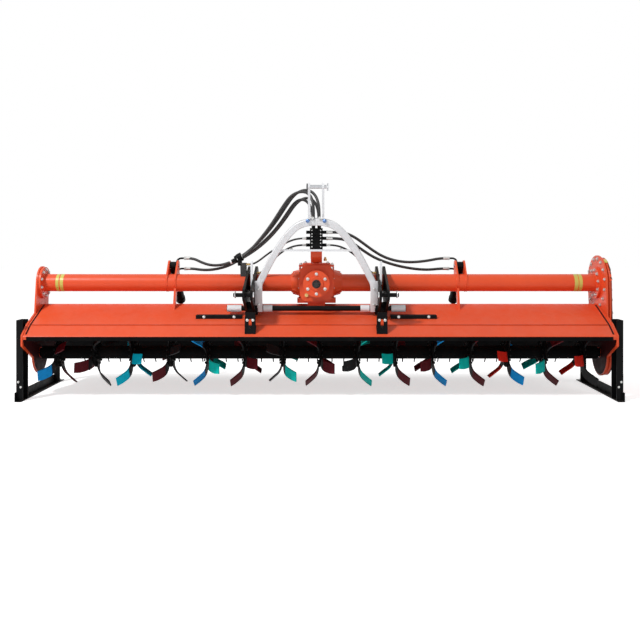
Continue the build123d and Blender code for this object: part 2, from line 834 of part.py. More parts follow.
# Hose clamp on the left cross tube.
with BuildPart() as hose_clamp:
    with BuildSketch(across(clamp_x)):
        with BuildLine():
            Polyline(
                (tube_y - 40, tube_z + 30),
                (tube_y + 30, tube_z + 30),
                (tube_y + 10, clamp_z),
                (tube_y - 60, clamp_z),
                close=True,
            )
        make_face()
        with Locations((tube_y, tube_z)):
            Circle(tube_radius, mode=Mode.SUBTRACT)
    extrude(amount=clamp_width)
clamp_top = hose_clamp.solids().sort_by(Axis.Z)[-1]
with BuildPart() as hose_clamp:
    add(clamp_top)
finish(hose_clamp, "hose_clamp")

# ---------------------------------------------------------------- hoses
# Each hose: (name, diameter, route), where the route's points are set by hand.
hose_table = [
    ("tractor_hose_1", 20.0, [
        (-44, 181, 1194.5), (-42, 182, 1268), (-46, 188, 1342), (-65, 217, 1398), (-105, 260, 1426),
        (-157, 299, 1420), (-206, 322, 1384), (-262, 337, 1296), (-330, 345, 1190),
        (-410, 350, 1092), (-492, 354, 1010), (-552, 356, 966), (-590, 357, 950),
    ]),
    ("tractor_hose_2", 20.0, [
        (-4, 181, 1194.5), (-3, 183, 1266), (-8, 192, 1338), (-30, 226, 1400), (-74, 276, 1438),
        (-134, 320, 1438), (-190, 348, 1402), (-250, 362, 1314), (-320, 368, 1208),
        (-402, 372, 1108), (-488, 375, 1026), (-552, 377, 976), (-590, 378, 956),
    ]),
    ("left_hose_1", 20.0, [
        (-44, 214, 1110), (-44, 260, 1110), (-45, 306, 1140), (-47, 330, 1190), (-50, 338, 1252),
        (-62, 345, 1318), (-94, 356, 1372), (-144, 366, 1394), (-198, 377, 1368), (-248, 388, 1296),
        (-308, 397, 1208), (-386, 403, 1118), (-472, 405, 1038), (-556, 406, 974),
        (-640, 420, 928), (-725, 456, 904), (-808, 510, 905), (-880, 566, 926), (-943, 609.5, 954),
        (-998.7, 609.5, 954),
    ]),
    ("left_hose_2", 20.0, [
        (-4, 214, 1110), (-4, 264, 1110), (-5, 314, 1142), (-6, 342, 1194), (-8, 356, 1260),
        (-18, 364, 1326), (-46, 374, 1382), (-96, 386, 1416), (-156, 398, 1412), (-208, 408, 1372),
        (-262, 420, 1290), (-334, 430, 1194), (-414, 435, 1098), (-500, 437, 1012),
        (-580, 440, 946), (-660, 454, 902), (-745, 492, 878), (-824, 544, 868), (-888, 590, 869),
        (-945, 619.5, 876.7), (-998.7, 619.5, 876.7),
    ]),
    ("right_hose_1", 20.0, [
        (46, 181, 1140), (104, 181, 1140), (170, 210, 1138), (240, 262, 1110), (310, 318, 1062),
        (380, 372, 1012), (455, 420, 968), (545, 464, 938), (640, 507, 926), (730, 548, 929),
        (812, 584, 939), (892, 609.5, 954), (950.7, 609.5, 954),
    ]),
    ("right_hose_2", 20.0, [
        (46, 181, 1098), (104, 181, 1098), (172, 218, 1091), (240, 276, 1060), (308, 335, 1012),
        (382, 392, 966), (462, 440, 932), (552, 486, 904), (645, 530, 884), (735, 572, 872),
        (815, 602, 869), (892, 619.5, 876.7), (950.7, 619.5, 876.7),
    ]),
    ("link_hose_left_1", 13.0, [
        (-94, 181, 1098), (-148, 181, 1098), (-215, 214, 1078), (-290, 262, 1040),
        (-370, 312, 988), (-438, 354, 936), (-484, 372, 914), (-525.5, 372, 914),
    ]),
    ("link_hose_left_2", 13.0, [
        (-94, 181, 1052), (-148, 181, 1052), (-212, 210, 1034), (-276, 250, 996),
        (-332, 290, 945), (-374, 320, 894), (-408, 334, 855), (-445.5, 334, 855),
    ]),
    ("link_hose_right", 13.0, [
        (46, 181, 1052), (100, 181, 1052), (164, 210, 1034), (228, 250, 996),
        (284, 290, 945), (326, 320, 894), (360, 334, 855), (397.5, 334, 855),
    ]),
]
for hose_name, hose_diameter, route in hose_table:
    corners = [Vector(*point) for point in route]
    bend_radii = []
    for before, corner, after in zip(corners, corners[1:], corners[2:]):
        half_turn = radians((corner - before).get_angle(after - corner)) / 2
        shorter_run = min((corner - before).length, (after - corner).length)
        bend_radii.append(0.45 * shorter_run / tan(half_turn))
    print(hose_name, "bend radii", [round(value) for value in bend_radii])
    with BuildPart() as hose:
        with BuildLine() as hose_line:
            FilletPolyline(*route, radius=bend_radii)
        with BuildSketch(Plane(origin=hose_line.line @ 0, z_dir=hose_line.line % 0)):
            Circle(hose_diameter / 2)
        sweep(path=hose_line.line)
    hose_length = sum(edge.length for edge in hose_line.edges())
    full_volume = pi * hose_diameter**2 / 4 * hose_length
    print(hose_name, "length", round(hose_length), "volume share", round(hose.part.volume / full_volume, 3))
    finish(hose, hose_name)

# ---------------------------------------------------------------- stands
for side_name, side in mirror_sides:
    outer_x = side * (side_outer + stand_width)
    stand_centre_x = side * (side_outer + stand_width / 2)
    stand_hollow_x = side * (side_outer + (stand_width - rail_wall) / 2)
    with BuildPart() as stand:
        # front post, a channel with its web outward
        with BuildSketch(Plane.XY):
            with Locations((stand_centre_x, stand_front_y + stand_channel / 2)):
                Rectangle(stand_width, stand_channel)
            with Locations((stand_hollow_x, stand_front_y + stand_channel / 2)):
                Rectangle(stand_width - rail_wall, stand_channel - 2 * rail_wall, mode=Mode.SUBTRACT)
        extrude(amount=stand_top_z)
        # rear post, an angle
        with BuildSketch(Plane.XY):
            with Locations((stand_centre_x, stand_rear_y + 26)):
                Rectangle(stand_width, 52)
            with Locations((stand_hollow_x, stand_rear_y + 26 + rail_wall)):
                Rectangle(stand_width - rail_wall, 52, mode=Mode.SUBTRACT)
        extrude(amount=430)
        # bottom rail, an angle lying on the floor
        with BuildSketch(Plane.XZ.offset(-10)):
            with Locations((stand_centre_x, rail_height / 2)):
                Rectangle(stand_width, rail_height)
            with Locations((stand_hollow_x, rail_height / 2 + rail_wall)):
                Rectangle(stand_width - rail_wall, rail_height, mode=Mode.SUBTRACT)
        extrude(amount=-(rail_rear_y - 10))
    finish(stand, f"{side_name}_stand")

print("machine middle", round(machine_middle_y, 4))
print("cylinder angle", round(cylinder_angle, 4), "rod pin", round(rod_pin_y, 3), round(rod_pin_z, 3))
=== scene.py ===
import bpy
import bmesh
import json
from math import radians, sin, cos, pi, atan2, hypot
from mathutils import Vector, Matrix


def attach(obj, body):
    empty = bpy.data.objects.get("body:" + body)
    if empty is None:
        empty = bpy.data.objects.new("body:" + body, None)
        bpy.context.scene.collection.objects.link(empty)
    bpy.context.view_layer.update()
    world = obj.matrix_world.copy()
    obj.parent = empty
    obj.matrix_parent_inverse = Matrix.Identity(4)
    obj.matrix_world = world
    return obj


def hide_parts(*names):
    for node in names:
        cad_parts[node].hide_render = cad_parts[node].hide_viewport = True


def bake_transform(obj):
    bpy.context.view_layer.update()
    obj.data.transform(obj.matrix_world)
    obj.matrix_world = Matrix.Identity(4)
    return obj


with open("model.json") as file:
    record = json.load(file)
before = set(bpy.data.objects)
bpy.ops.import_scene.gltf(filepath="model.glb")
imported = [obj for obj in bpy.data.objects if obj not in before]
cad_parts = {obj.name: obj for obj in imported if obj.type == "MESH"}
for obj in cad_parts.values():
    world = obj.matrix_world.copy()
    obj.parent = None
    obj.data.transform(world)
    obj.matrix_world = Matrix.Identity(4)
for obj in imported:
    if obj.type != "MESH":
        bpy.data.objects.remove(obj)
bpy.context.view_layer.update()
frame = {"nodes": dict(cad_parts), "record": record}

machineMiddle = 0.547988        # metres from the hood's lip to the middle of the machine
hitchMiddle = -24.0             # mm, as all the places below are
tubeAxis = (400, 782)           # y and z of the cross tubes and the gearbox
rotorAxis = (350, 290)
shaftAxis = (222, 612)          # the cross shaft of the headstock
tubeEnd = 1967                  # where the tubes meet their end flanges
plateInner, plateOuter, coverFace = 1985, 1997, 2030    # faces at the machine's ends
flangePitch, flangeCount = 264.0, 15                    # flanges along the rotor


def at(x, y, z):
    # millimetres from the hood's lip to metres in the frame
    return Vector((x / 1000, y / 1000 - machineMiddle, z / 1000))


def atHitch(x, y, z):
    # the same, with x from the middle of the hitch
    return at(hitchMiddle + x, y, z)


def onCircle(axis, radius, angle):
    # y and z of a point on a circle round an axis that runs along x
    return axis[0] + radius * cos(angle), axis[1] + radius * sin(angle)


# Finishes: a noise is scale, detail, roughness and stretch, and a bump is strength and distance.
softRange = (0.3, 0.7)          # the middle of a noise, spread over its whole ramp


def freshMaterial(name):
    mat = bpy.data.materials.new(name)
    mat.use_nodes = True
    tree = mat.node_tree
    return mat, tree, tree.nodes["Principled BSDF"], tree.nodes.new("ShaderNodeTexCoord")


def noiseOn(tree, coord, scale, detail=4.0, rough=0.55, stretch=None):
    noise = tree.nodes.new("ShaderNodeTexNoise")
    for socketName, value in (("Scale", scale), ("Detail", detail), ("Roughness", rough)):
        noise.inputs[socketName].default_value = value
    place = coord.outputs["Object"]
    if stretch:
        mapping = tree.nodes.new("ShaderNodeMapping")
        mapping.inputs["Scale"].default_value = stretch
        tree.links.new(place, mapping.inputs["Vector"])
        place = mapping.outputs["Vector"]
    tree.links.new(place, noise.inputs["Vector"])
    return noise.outputs["Fac"]


def rampOn(tree, source, low, high, dark=0.0, light=1.0):
    ramp = tree.nodes.new("ShaderNodeMapRange")
    for socketName, value in (("From Min", low), ("From Max", high), ("To Min", dark), ("To Max", light)):
        ramp.inputs[socketName].default_value = value
    tree.links.new(source, ramp.inputs["Value"])
    return ramp.outputs["Result"]


def mixColour(tree, factor, first, second):
    mix = tree.nodes.new("ShaderNodeMix")
    mix.data_type = "RGBA"
    for socket, value in ((mix.inputs[6], first), (mix.inputs[7], second)):
        if isinstance(value, tuple):
            socket.default_value = (*value, 1.0)
        else:
            tree.links.new(value, socket)
    tree.links.new(factor, mix.inputs[0])
    return mix.outputs[2]


def combine(tree, operation, first, second):
    # one Math node on a socket and a second socket or number
    node = tree.nodes.new("ShaderNodeMath")
    node.operation = operation
    tree.links.new(first, node.inputs[0])
    if isinstance(second, float):
        node.inputs[1].default_value = second
    else:
        tree.links.new(second, node.inputs[1])
    return node.outputs[0]


def bumpFrom(tree, source, shader, strength, distance):
    bump = tree.nodes.new("ShaderNodeBump")
    bump.inputs["Strength"].default_value = strength
    bump.inputs["Distance"].default_value = distance
    tree.links.new(source, bump.inputs["Height"])
    tree.links.new(bump.outputs["Normal"], shader.inputs["Normal"])


def upFacing(tree):
    # 1 where a face looks up, where dust settles
    geometry = tree.nodes.new("ShaderNodeNewGeometry")
    split = tree.nodes.new("ShaderNodeSeparateXYZ")
    tree.links.new(geometry.outputs["Normal"], split.inputs[0])
    return rampOn(tree, split.outputs["Z"], 0.55, 0.95)


paintGrain = {
    "cloudDetail": 5.0, "streak": (9.0, 6.0, 0.6, (1.0, 1.0, 0.18)), "dust": (14.0, 8.0, 0.7),
    "dustTone": (0.62, 0.52, 0.42), "chips": (95.0, 9.0, 0.72), "chipFade": 0.025,
    "gloss": (22.0, 4.0), "coatRough": 0.2, "peel": (210.0, 3.0), "bump": (0.16, 0.0006),
}


def makePaint(name, look):
    # gloss paint over steel: cloudy tone, orange peel, dust on top, a few chips
    mat, tree, shader, coord = freshMaterial(name)
    cloud = noiseOn(tree, coord, look["cloudScale"], paintGrain["cloudDetail"])
    base = mixColour(tree, rampOn(tree, cloud, *softRange), look["tone"], look["shade"])
    streak = noiseOn(tree, coord, *paintGrain["streak"])
    base = mixColour(tree, rampOn(tree, streak, 0.52, 0.8, 0.0, look["streak"]), base, look["stain"])
    dustSpread = rampOn(tree, noiseOn(tree, coord, *paintGrain["dust"]), 0.35, 0.75)
    dustOnTop = combine(tree, "MULTIPLY", dustSpread, upFacing(tree))
    dust = combine(tree, "MULTIPLY", dustOnTop, look["dust"])
    base = mixColour(tree, dust, base, paintGrain["dustTone"])
    chipNoise = noiseOn(tree, coord, *paintGrain["chips"])
    chips = rampOn(tree, chipNoise, look["chipFrom"], look["chipFrom"] + paintGrain["chipFade"])
    base = mixColour(tree, chips, base, look["under"])
    tree.links.new(base, shader.inputs["Base Color"])
    glossNoise = noiseOn(tree, coord, *paintGrain["gloss"])
    gloss = rampOn(tree, glossNoise, *softRange, look["rough"] - 0.07, look["rough"] + 0.1)
    tree.links.new(gloss, shader.inputs["Roughness"])
    shader.inputs["Coat Weight"].default_value = look["coat"]
    shader.inputs["Coat Roughness"].default_value = paintGrain["coatRough"]
    shader.inputs["Specular IOR Level"].default_value = look["sheen"]
    bumpFrom(tree, noiseOn(tree, coord, *paintGrain["peel"]), shader, *paintGrain["bump"])
    return mat


metalGrain = {"brush": (60.0, 6.0, 0.6), "spot": (38.0, 8.0, 0.75), "rustFade": 0.1, "bump": (0.2, 0.0004)}


def makeMetal(name, look):
    # plain or plated steel with brush marks, tarnish and a little rust
    mat, tree, shader, coord = freshMaterial(name)
    brush = noiseOn(tree, coord, *metalGrain["brush"], look["stretch"])
    base = mixColour(tree, rampOn(tree, brush, 0.35, 0.68), look["tone"], look["shade"])
    spot = noiseOn(tree, coord, *metalGrain["spot"])
    rusty = rampOn(tree, spot, look["rustFrom"], look["rustFrom"] + metalGrain["rustFade"])
    base = mixColour(tree, rusty, base, look["rust"])
    tree.links.new(base, shader.inputs["Base Color"])
    shader.inputs["Metallic"].default_value = look["metallic"]
    gloss = rampOn(tree, brush, *softRange, look["rough"] - 0.06, look["rough"] + 0.12)
    tree.links.new(gloss, shader.inputs["Roughness"])
    bumpFrom(tree, brush, shader, *metalGrain["bump"])
    return mat


def makeRubber(name, look):
    # hose cover: fine wrapped texture, dull, with dusty patches
    mat, tree, shader, coord = freshMaterial(name)
    patch = noiseOn(tree, coord, *look["patch"])
    base = mixColour(tree, rampOn(tree, patch, 0.35, 0.75), look["tone"], look["shade"])
    tree.links.new(base, shader.inputs["Base Color"])
    wrap = tree.nodes.new("ShaderNodeTexWave")
    wrap.bands_direction = "DIAGONAL"
    for socketName, value in look["wrap"].items():
        wrap.inputs[socketName].default_value = value
    tree.links.new(coord.outputs["Object"], wrap.inputs["Vector"])
    tree.links.new(rampOn(tree, patch, *softRange, *look["rough"]), shader.inputs["Roughness"])
    bumpFrom(tree, wrap.outputs["Fac"], shader, *look["bump"])
    return mat


# Each flange's wing colours from left to right, for the wings that point left and right; the dark red ones are
# red wings in painted shade.
wingTones = {
    "blue": (0.005, 0.34, 0.85), "cyan": (0.0, 0.58, 0.80), "teal": (0.0, 0.62, 0.55),
    # shadedRed is the red of the wings in painted shade
    "shadedRed": (0.085, 0.002, 0.007), "red": (0.82, 0.028, 0.015), "black": (0.010, 0.010, 0.011),
}
leftWings = ["blue", "shadedRed", "cyan", "shadedRed", "blue", "shadedRed", "black", "shadedRed", "black", "teal",
             "shadedRed", "teal", "red", "teal", "red"]
rightWings = ["shadedRed", "black", "cyan", "black", "teal", "shadedRed", "teal", "shadedRed", "teal", "shadedRed",
              "blue", "shadedRed", "blue", "shadedRed", "black"]
bladeLook = {
    "shankEnd": (0.020, 0.024), "shank": (0.005, 0.005, 0.006), "worn": (0.006, 0.006, 0.007),
    "rubbed": (0.30, 0.27, 0.25), "edge": (30.0, 7.0, 0.7), "rub": (120.0, 8.0, 0.75),
    "rough": (0.38, 0.60), "sheen": 0.14, "bump": (0.3, 0.0012),
}


def makeBladePaint(name, wings):
    # black forged shanks, wings dipped in one colour per flange with the dark red ones painted shade, cutting
    # edges rubbed bright
    mat, tree, shader, coord = freshMaterial(name)
    split = tree.nodes.new("ShaderNodeSeparateXYZ")
    tree.links.new(coord.outputs["Object"], split.inputs[0])
    pitch = flangePitch / 1000
    halfSpan = pitch * len(wings) / 2
    place = rampOn(tree, split.outputs["X"], -halfSpan, halfSpan)
    wingRamp = tree.nodes.new("ShaderNodeValToRGB")
    wingRamp.color_ramp.interpolation = "CONSTANT"
    stops = wingRamp.color_ramp.elements
    stops[1].position = 1 / len(wings)
    for step, wingName in enumerate(wings):
        stop = stops[step] if step < 2 else stops.new(step / len(wings))
        stop.color = (*wingTones[wingName], 1.0)
    tree.links.new(place, wingRamp.inputs["Fac"])
    # the distance from the nearest flange, which is 0 at a flange and half a pitch between two
    offFlange = combine(tree, "PINGPONG", split.outputs["X"], pitch / 2)
    wing = rampOn(tree, offFlange, *bladeLook["shankEnd"])
    edgeNoise = noiseOn(tree, coord, *bladeLook["edge"])
    wear = rampOn(tree, edgeNoise, 0.45, 0.85, 0.0, 0.3)
    wingTone = mixColour(tree, wear, wingRamp.outputs["Color"], bladeLook["worn"])
    base = mixColour(tree, wing, bladeLook["shank"], wingTone)
    rub = noiseOn(tree, coord, *bladeLook["rub"])
    base = mixColour(tree, rampOn(tree, rub, 0.66, 0.7), base, bladeLook["rubbed"])
    tree.links.new(base, shader.inputs["Base Color"])
    tree.links.new(rampOn(tree, edgeNoise, *softRange, *bladeLook["rough"]), shader.inputs["Roughness"])
    shader.inputs["Specular IOR Level"].default_value = bladeLook["sheen"]
    bumpFrom(tree, edgeNoise, shader, *bladeLook["bump"])
    return mat


redLook = {"cloudScale": 1.7, "tone": (0.82, 0.095, 0.026), "shade": (0.75, 0.078, 0.021), "streak": 0.25,
           "stain": (0.58, 0.07, 0.03), "dust": 0.06, "chipFrom": 0.80, "under": (0.24, 0.05, 0.035),
           "rough": 0.40, "coat": 0.08, "sheen": 0.30}
whiteLook = {"cloudScale": 4.0, "tone": (0.84, 0.85, 0.87), "shade": (0.76, 0.77, 0.80), "streak": 0.35,
             "stain": (0.50, 0.46, 0.42), "dust": 0.2, "chipFrom": 0.72, "under": (0.16, 0.13, 0.11),
             "rough": 0.30, "coat": 0.2, "sheen": 0.45}
blackLook = {"cloudScale": 3.0, "tone": (0.0035, 0.0035, 0.004), "shade": (0.007, 0.007, 0.0075),
             "streak": 0.3, "stain": (0.03, 0.027, 0.025), "dust": 0.07, "chipFrom": 0.715,
             "under": (0.12, 0.10, 0.09), "rough": 0.46, "coat": 0.0, "sheen": 0.07}
# the red paint as it looks in shade: painted shade for the side plates' linings and the deck's seams
shadedWineLook = {**redLook, "tone": (0.035, 0.003, 0.004), "shade": (0.022, 0.002, 0.003),
            "stain": (0.02, 0.004, 0.004), "dust": 0.02, "chipFrom": 0.95, "rough": 0.60, "coat": 0.0,
            "sheen": 0.12}
# a darker red for the crease along the deck: painted shade where the sheet bends
creaseShadeLook = {**redLook, "tone": (0.62, 0.055, 0.012), "shade": (0.50, 0.045, 0.010)}
# a dull near-black for the parts under the hood: painted shade, with a few stains, dust and chips
shadeBlackLook = {"cloudScale": 3.0, "tone": (0.003, 0.003, 0.0035), "shade": (0.006, 0.006, 0.006),
            "streak": 0.4, "stain": (0.022, 0.019, 0.016), "dust": 0.03, "chipFrom": 0.73,
            "under": (0.07, 0.055, 0.045), "rough": 0.66, "coat": 0.0, "sheen": 0.03}
yellowLook = {"cloudScale": 5.0, "tone": (0.66, 0.60, 0.12), "shade": (0.58, 0.50, 0.09), "streak": 0.3,
              "stain": (0.35, 0.22, 0.08), "dust": 0.15, "chipFrom": 0.7, "under": (0.5, 0.1, 0.04),
              "rough": 0.36, "coat": 0.1, "sheen": 0.4}
steelLook = {"tone": (0.55, 0.56, 0.58), "shade": (0.40, 0.41, 0.43), "stretch": (1.0, 6.0, 1.0),
             "rust": (0.22, 0.12, 0.07), "rustFrom": 0.70, "metallic": 0.9, "rough": 0.30}
zincLook = {"tone": (0.68, 0.68, 0.67), "shade": (0.50, 0.50, 0.48), "stretch": (1.0, 1.0, 1.0),
            "rust": (0.30, 0.25, 0.18), "rustFrom": 0.72, "metallic": 0.85, "rough": 0.32}
# plated steel tinted blue: painted shade on the bolts at the arch's crown
bluishShadeLook = {**zincLook, "tone": (0.16, 0.27, 0.50), "shade": (0.08, 0.14, 0.30)}
chromeLook = {"tone": (0.78, 0.79, 0.80), "shade": (0.70, 0.71, 0.73), "stretch": (1.0, 9.0, 9.0),
              "rust": (0.5, 0.45, 0.4), "rustFrom": 0.80, "metallic": 1.0, "rough": 0.14}
brassLook = {"tone": (0.70, 0.48, 0.20), "shade": (0.55, 0.36, 0.14), "stretch": (1.0, 1.0, 1.0),
             "rust": (0.25, 0.16, 0.08), "rustFrom": 0.66, "metallic": 0.9, "rough": 0.30}
oiledLook = {"tone": (0.045, 0.043, 0.042), "shade": (0.02, 0.02, 0.02), "stretch": (6.0, 1.0, 6.0),
             "rust": (0.10, 0.05, 0.03), "rustFrom": 0.68, "metallic": 0.7, "rough": 0.36}
rubberLook = {"tone": (0.013, 0.013, 0.014), "shade": (0.032, 0.031, 0.030), "patch": (11.0, 6.0),
              "wrap": {"Scale": 160.0, "Distortion": 1.2, "Detail": 2.0}, "rough": (0.38, 0.55),
              "bump": (0.25, 0.0005)}

finishes = {
    "red_paint": makePaint("redPaint", redLook),
    "white_paint": makePaint("whitePaint", whiteLook),
    "black_paint": makePaint("blackPaint", blackLook),
    "yellowBand": makePaint("yellowBand", yellowLook),
    "shadeBlack": makePaint("shadeBlack", shadeBlackLook),
    "creaseShadeRed": makePaint("creaseShadeRed", creaseShadeLook),
    "shadedWine": makePaint("shadedWine", shadedWineLook),
    "bare_steel": makeMetal("bareSteel", steelLook),
    "zinc": makeMetal("zincPlate", zincLook),
    "bluishShadeSteel": makeMetal("bluishShadeSteel", bluishShadeLook),
    "chrome": makeMetal("chromePlate", chromeLook),
    "brass": makeMetal("brassFitting", brassLook),
    "oiledSteel": makeMetal("oiledSteel", oiledLook),
    "rubber": makeRubber("hoseRubber", rubberLook),
}
bladePaint = {"left_hand_blades": makeBladePaint("leftBladePaint", leftWings),
              "right_hand_blades": makeBladePaint("rightBladePaint", rightWings)}
# the board, the rotor's shaft and the tines under the hood get the near-black of painted shade
ownFinish = {"left_rod": "chrome", "right_rod": "chrome", "pto_shaft": "oiledSteel",
             "levelling_board": "shadeBlack", "rotor_shaft": "shadeBlack", "board_tines": "shadeBlack"}
slotOf = {item["node"]: item["material_slot"] for item in frame["record"]["subparts"]}
for nodeName, nodeObject in frame["nodes"].items():
    finish = bladePaint.get(nodeName) or finishes[ownFinish.get(nodeName, slotOf[nodeName])]
    for slotNumber in range(len(nodeObject.data.materials)):
        nodeObject.data.materials[slotNumber] = finish
    if not nodeObject.data.materials:
        nodeObject.data.materials.append(finish)
print("finishes on", len(frame["nodes"]), "nodes")


# Makers of pieces
def putObject(name, data):
    made = bpy.data.objects.new(name, data)
    bpy.context.scene.collection.objects.link(made)
    return made


def putPiece(name, bm, finish, body, sharp=32):
    # the bmesh as an object of its own, in its finish and on its body
    bmesh.ops.remove_doubles(bm, verts=bm.verts, dist=0.00001)
    bmesh.ops.recalc_face_normals(bm, faces=bm.faces)
    mesh = bpy.data.meshes.new(name)
    bm.to_mesh(mesh)
    bm.free()
    mesh.shade_smooth()
    mesh.set_sharp_from_angle(angle=radians(sharp))
    piece = putObject(name, mesh)
    mesh.materials.append(finishes[finish])
    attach(piece, body)
    return piece


def facing(spot, axis):
    # a matrix whose Z runs along axis from spot
    turn = Vector(axis).normalized().to_track_quat("Z", "Y").to_matrix().to_4x4()
    return Matrix.Translation(spot) @ turn


def addBar(bm, spot, axis, radius, length, sides=24, endRadius=None):
    # a round or hexagonal bar that starts at spot and runs along axis
    place = facing(spot, axis) @ Matrix.Translation((0, 0, length / 2))
    bmesh.ops.create_cone(bm, cap_ends=True, segments=sides, radius1=radius,
                          radius2=radius if endRadius is None else endRadius, depth=length, matrix=place)


def addBars(bm, bars):
    # each bar is its place from the hitch, direction, radius, length, sides and perhaps far radius
    for place, axis, *shape in bars:
        addBar(bm, atHitch(*place), axis, *shape)


# Shares of a bolt's size: where each part starts, its radius, length and far radius, and its sides
boltShape = {"washer": (0.0, 1.05, 0.16, 1.05, 18), "head": (0.16, 0.9, 0.5, 0.9, 6),
             "chamfer": (0.66, 0.9, 0.12, 0.72, 6), "threadEnd": (0.76, 0.45, 0.26, 0.38, 12)}


def addBolt(bm, spot, axis, size):
    # hexagon head on a washer, with a chamfered top and the thread's end
    step = Vector(axis).normalized()
    for *shares, sides in boltShape.values():
        start, radius, length, farRadius = (size * share for share in shares)
        addBar(bm, spot + step * start, axis, radius, length, sides, farRadius)


def boltRing(bm, centre, axis, radius, count, size, start):
    place = facing(centre, axis)
    for step in range(count):
        angle = radians(start + 360.0 * step / count)
        addBolt(bm, place @ Vector((radius * cos(angle), radius * sin(angle), 0)), axis, size)


def addRing(bm, centre, axis, radius, wire, turns, sides):
    # a round wire bent to a full ring
    place = facing(centre, axis)
    start = place @ Vector((radius, 0, 0))
    tangent = place.to_3x3() @ Vector((0, 1, 0))
    circle = bmesh.ops.create_circle(bm, segments=sides, radius=wire, matrix=facing(start, tangent))
    edges = list({edge for vert in circle["verts"] for edge in vert.link_edges})
    bmesh.ops.spin(bm, geom=circle["verts"] + edges, cent=centre, axis=place.to_3x3() @ Vector((0, 0, 1)),
                   angle=2 * pi, steps=turns, use_merge=True, use_duplicate=False)


def addBlock(bm, place, edge):
    # a cube set by the matrix, with its edges rounded
    made = bmesh.ops.create_cube(bm, size=1.0, matrix=place)
    lines = list({line for vert in made["verts"] for line in vert.link_edges})
    bmesh.ops.bevel(bm, geom=lines, offset=edge, affect="EDGES", segments=2, profile=0.5, material=-1)


def addPlate(bm, low, high, edge=0.0015):
    addBlock(bm, Matrix.Translation((low + high) / 2) @ Matrix.Diagonal((*(high - low), 1.0)), edge)


def addLeaningPlate(bm, centre, size, lean, edge=0.0015):
    turn = Matrix.Rotation(lean, 4, "X")
    addBlock(bm, Matrix.Translation(centre) @ turn @ Matrix.Diagonal((*size, 1.0)), edge)


def smoothCurve(name, spots):
    # a capped curve that runs from the first spot to the last, with its thickness still to be set
    curve = bpy.data.curves.new(name, "CURVE")
    curve.dimensions = "3D"
    curve.resolution_u = 10
    curve.use_fill_caps = True
    spline = curve.splines.new("NURBS")
    spline.points.add(len(spots) - 1)
    for point, spot in zip(spline.points, spots):
        point.co = (*spot, 1.0)
    spline.order_u = 3
    spline.use_endpoint_u = True
    return curve


def bakedMesh(curveObject):
    # the curve's finished shape as a mesh, in place of the curve object
    graph = bpy.context.evaluated_depsgraph_get()
    mesh = bpy.data.meshes.new_from_object(curveObject.evaluated_get(graph))
    bpy.data.objects.remove(curveObject)
    return mesh


# Yellow bands on the cross tubes
bandSettings = {"bands": ((-1878, -1856), (-1848, -1824), (1810, 1837), (1842, 1866)), "proud": 0.0006,
                "tubeRadius": 0.062, "sides": 64}
bm = bmesh.new()
bandRadius = bandSettings["tubeRadius"] + bandSettings["proud"]
bandTurn = Matrix.Rotation(radians(90), 4, "Y")
for bandStart, bandEnd in bandSettings["bands"]:
    place = Matrix.Translation(at((bandStart + bandEnd) / 2, *tubeAxis)) @ bandTurn
    bmesh.ops.create_cone(bm, cap_ends=False, segments=bandSettings["sides"], radius1=bandRadius,
                          radius2=bandRadius, depth=(bandEnd - bandStart) / 1000, matrix=place)
putPiece("tubeBands", bm, "yellowBand", "frame")

# Bolts on the machine's ends: x, direction, radius, count, size and first angle of each ring
endSettings = {
    "tubeRings": ((-tubeEnd, 1, 0.092, 10, 0.0125, 18), (tubeEnd, -1, 0.092, 10, 0.0125, 8),
                  (plateInner, -1, 0.172, 15, 0.0125, 10)),
    "right": ((262, 560), (250, 505), (560, 520), (240, 420), (300, 300), (420, 250)), "rightSize": 0.0125,
    "rotorRings": ((-2013, -1, 0.069, 8, 0.011, 22),), "leftSize": 0.012,
    "left": ((400, 880), (340, 830), (470, 830), (320, 740), (480, 740), (330, 660), (440, 600)),
}
bm = bmesh.new()
for side, sideName, axis, rings in ((1, "right", tubeAxis, "tubeRings"), (-1, "left", rotorAxis, "rotorRings")):
    for x, direction, *ring in endSettings[rings]:
        boltRing(bm, at(x, *axis), (direction, 0, 0), *ring)
    for y, z in endSettings[sideName]:
        addBolt(bm, at(side * plateOuter, y, z), (side, 0, 0), endSettings[sideName + "Size"])
putPiece("endBolts", bm, "zinc", "frame")
print("bands and end bolts")

# Cover of the gear case: its outer face moves in, so its bolts and bosses end where the CAD case does
coverSettings = {
    "outerFrom": 2.030, "moveIn": 0.010, "boltSize": 0.0115, "topRadius": 164, "lowRadius": 144,
    "topArc": (-15, 195, 9), "lowArc": (165, 375, 8), "sideBolts": (400, 490, 580, 670),
    "levelPlug": (372, 560), "bosses": ((tubeAxis, 0.074, 0.008, 0.070), (rotorAxis, 0.082, 0.009, 0.078)),
}
bm = bmesh.new()
bm.from_mesh(frame["nodes"]["gear_case"].data)
bmesh.ops.remove_doubles(bm, verts=bm.verts, dist=0.00005)
outer = [vert for vert in bm.verts if vert.co.x > coverSettings["outerFrom"]]
bmesh.ops.translate(bm, verts=outer, vec=(-coverSettings["moveIn"], 0, 0))
coverBolts = bmesh.new()
for axis, radius, (first, last, count) in ((tubeAxis, coverSettings["topRadius"], coverSettings["topArc"]),
                                           (rotorAxis, coverSettings["lowRadius"], coverSettings["lowArc"])):
    for step in range(count):
        angle = radians(first + (last - first) * step / (count - 1))
        spot = at(coverFace, *onCircle(axis, radius, angle))
        addBolt(coverBolts, spot, (1, 0, 0), coverSettings["boltSize"])
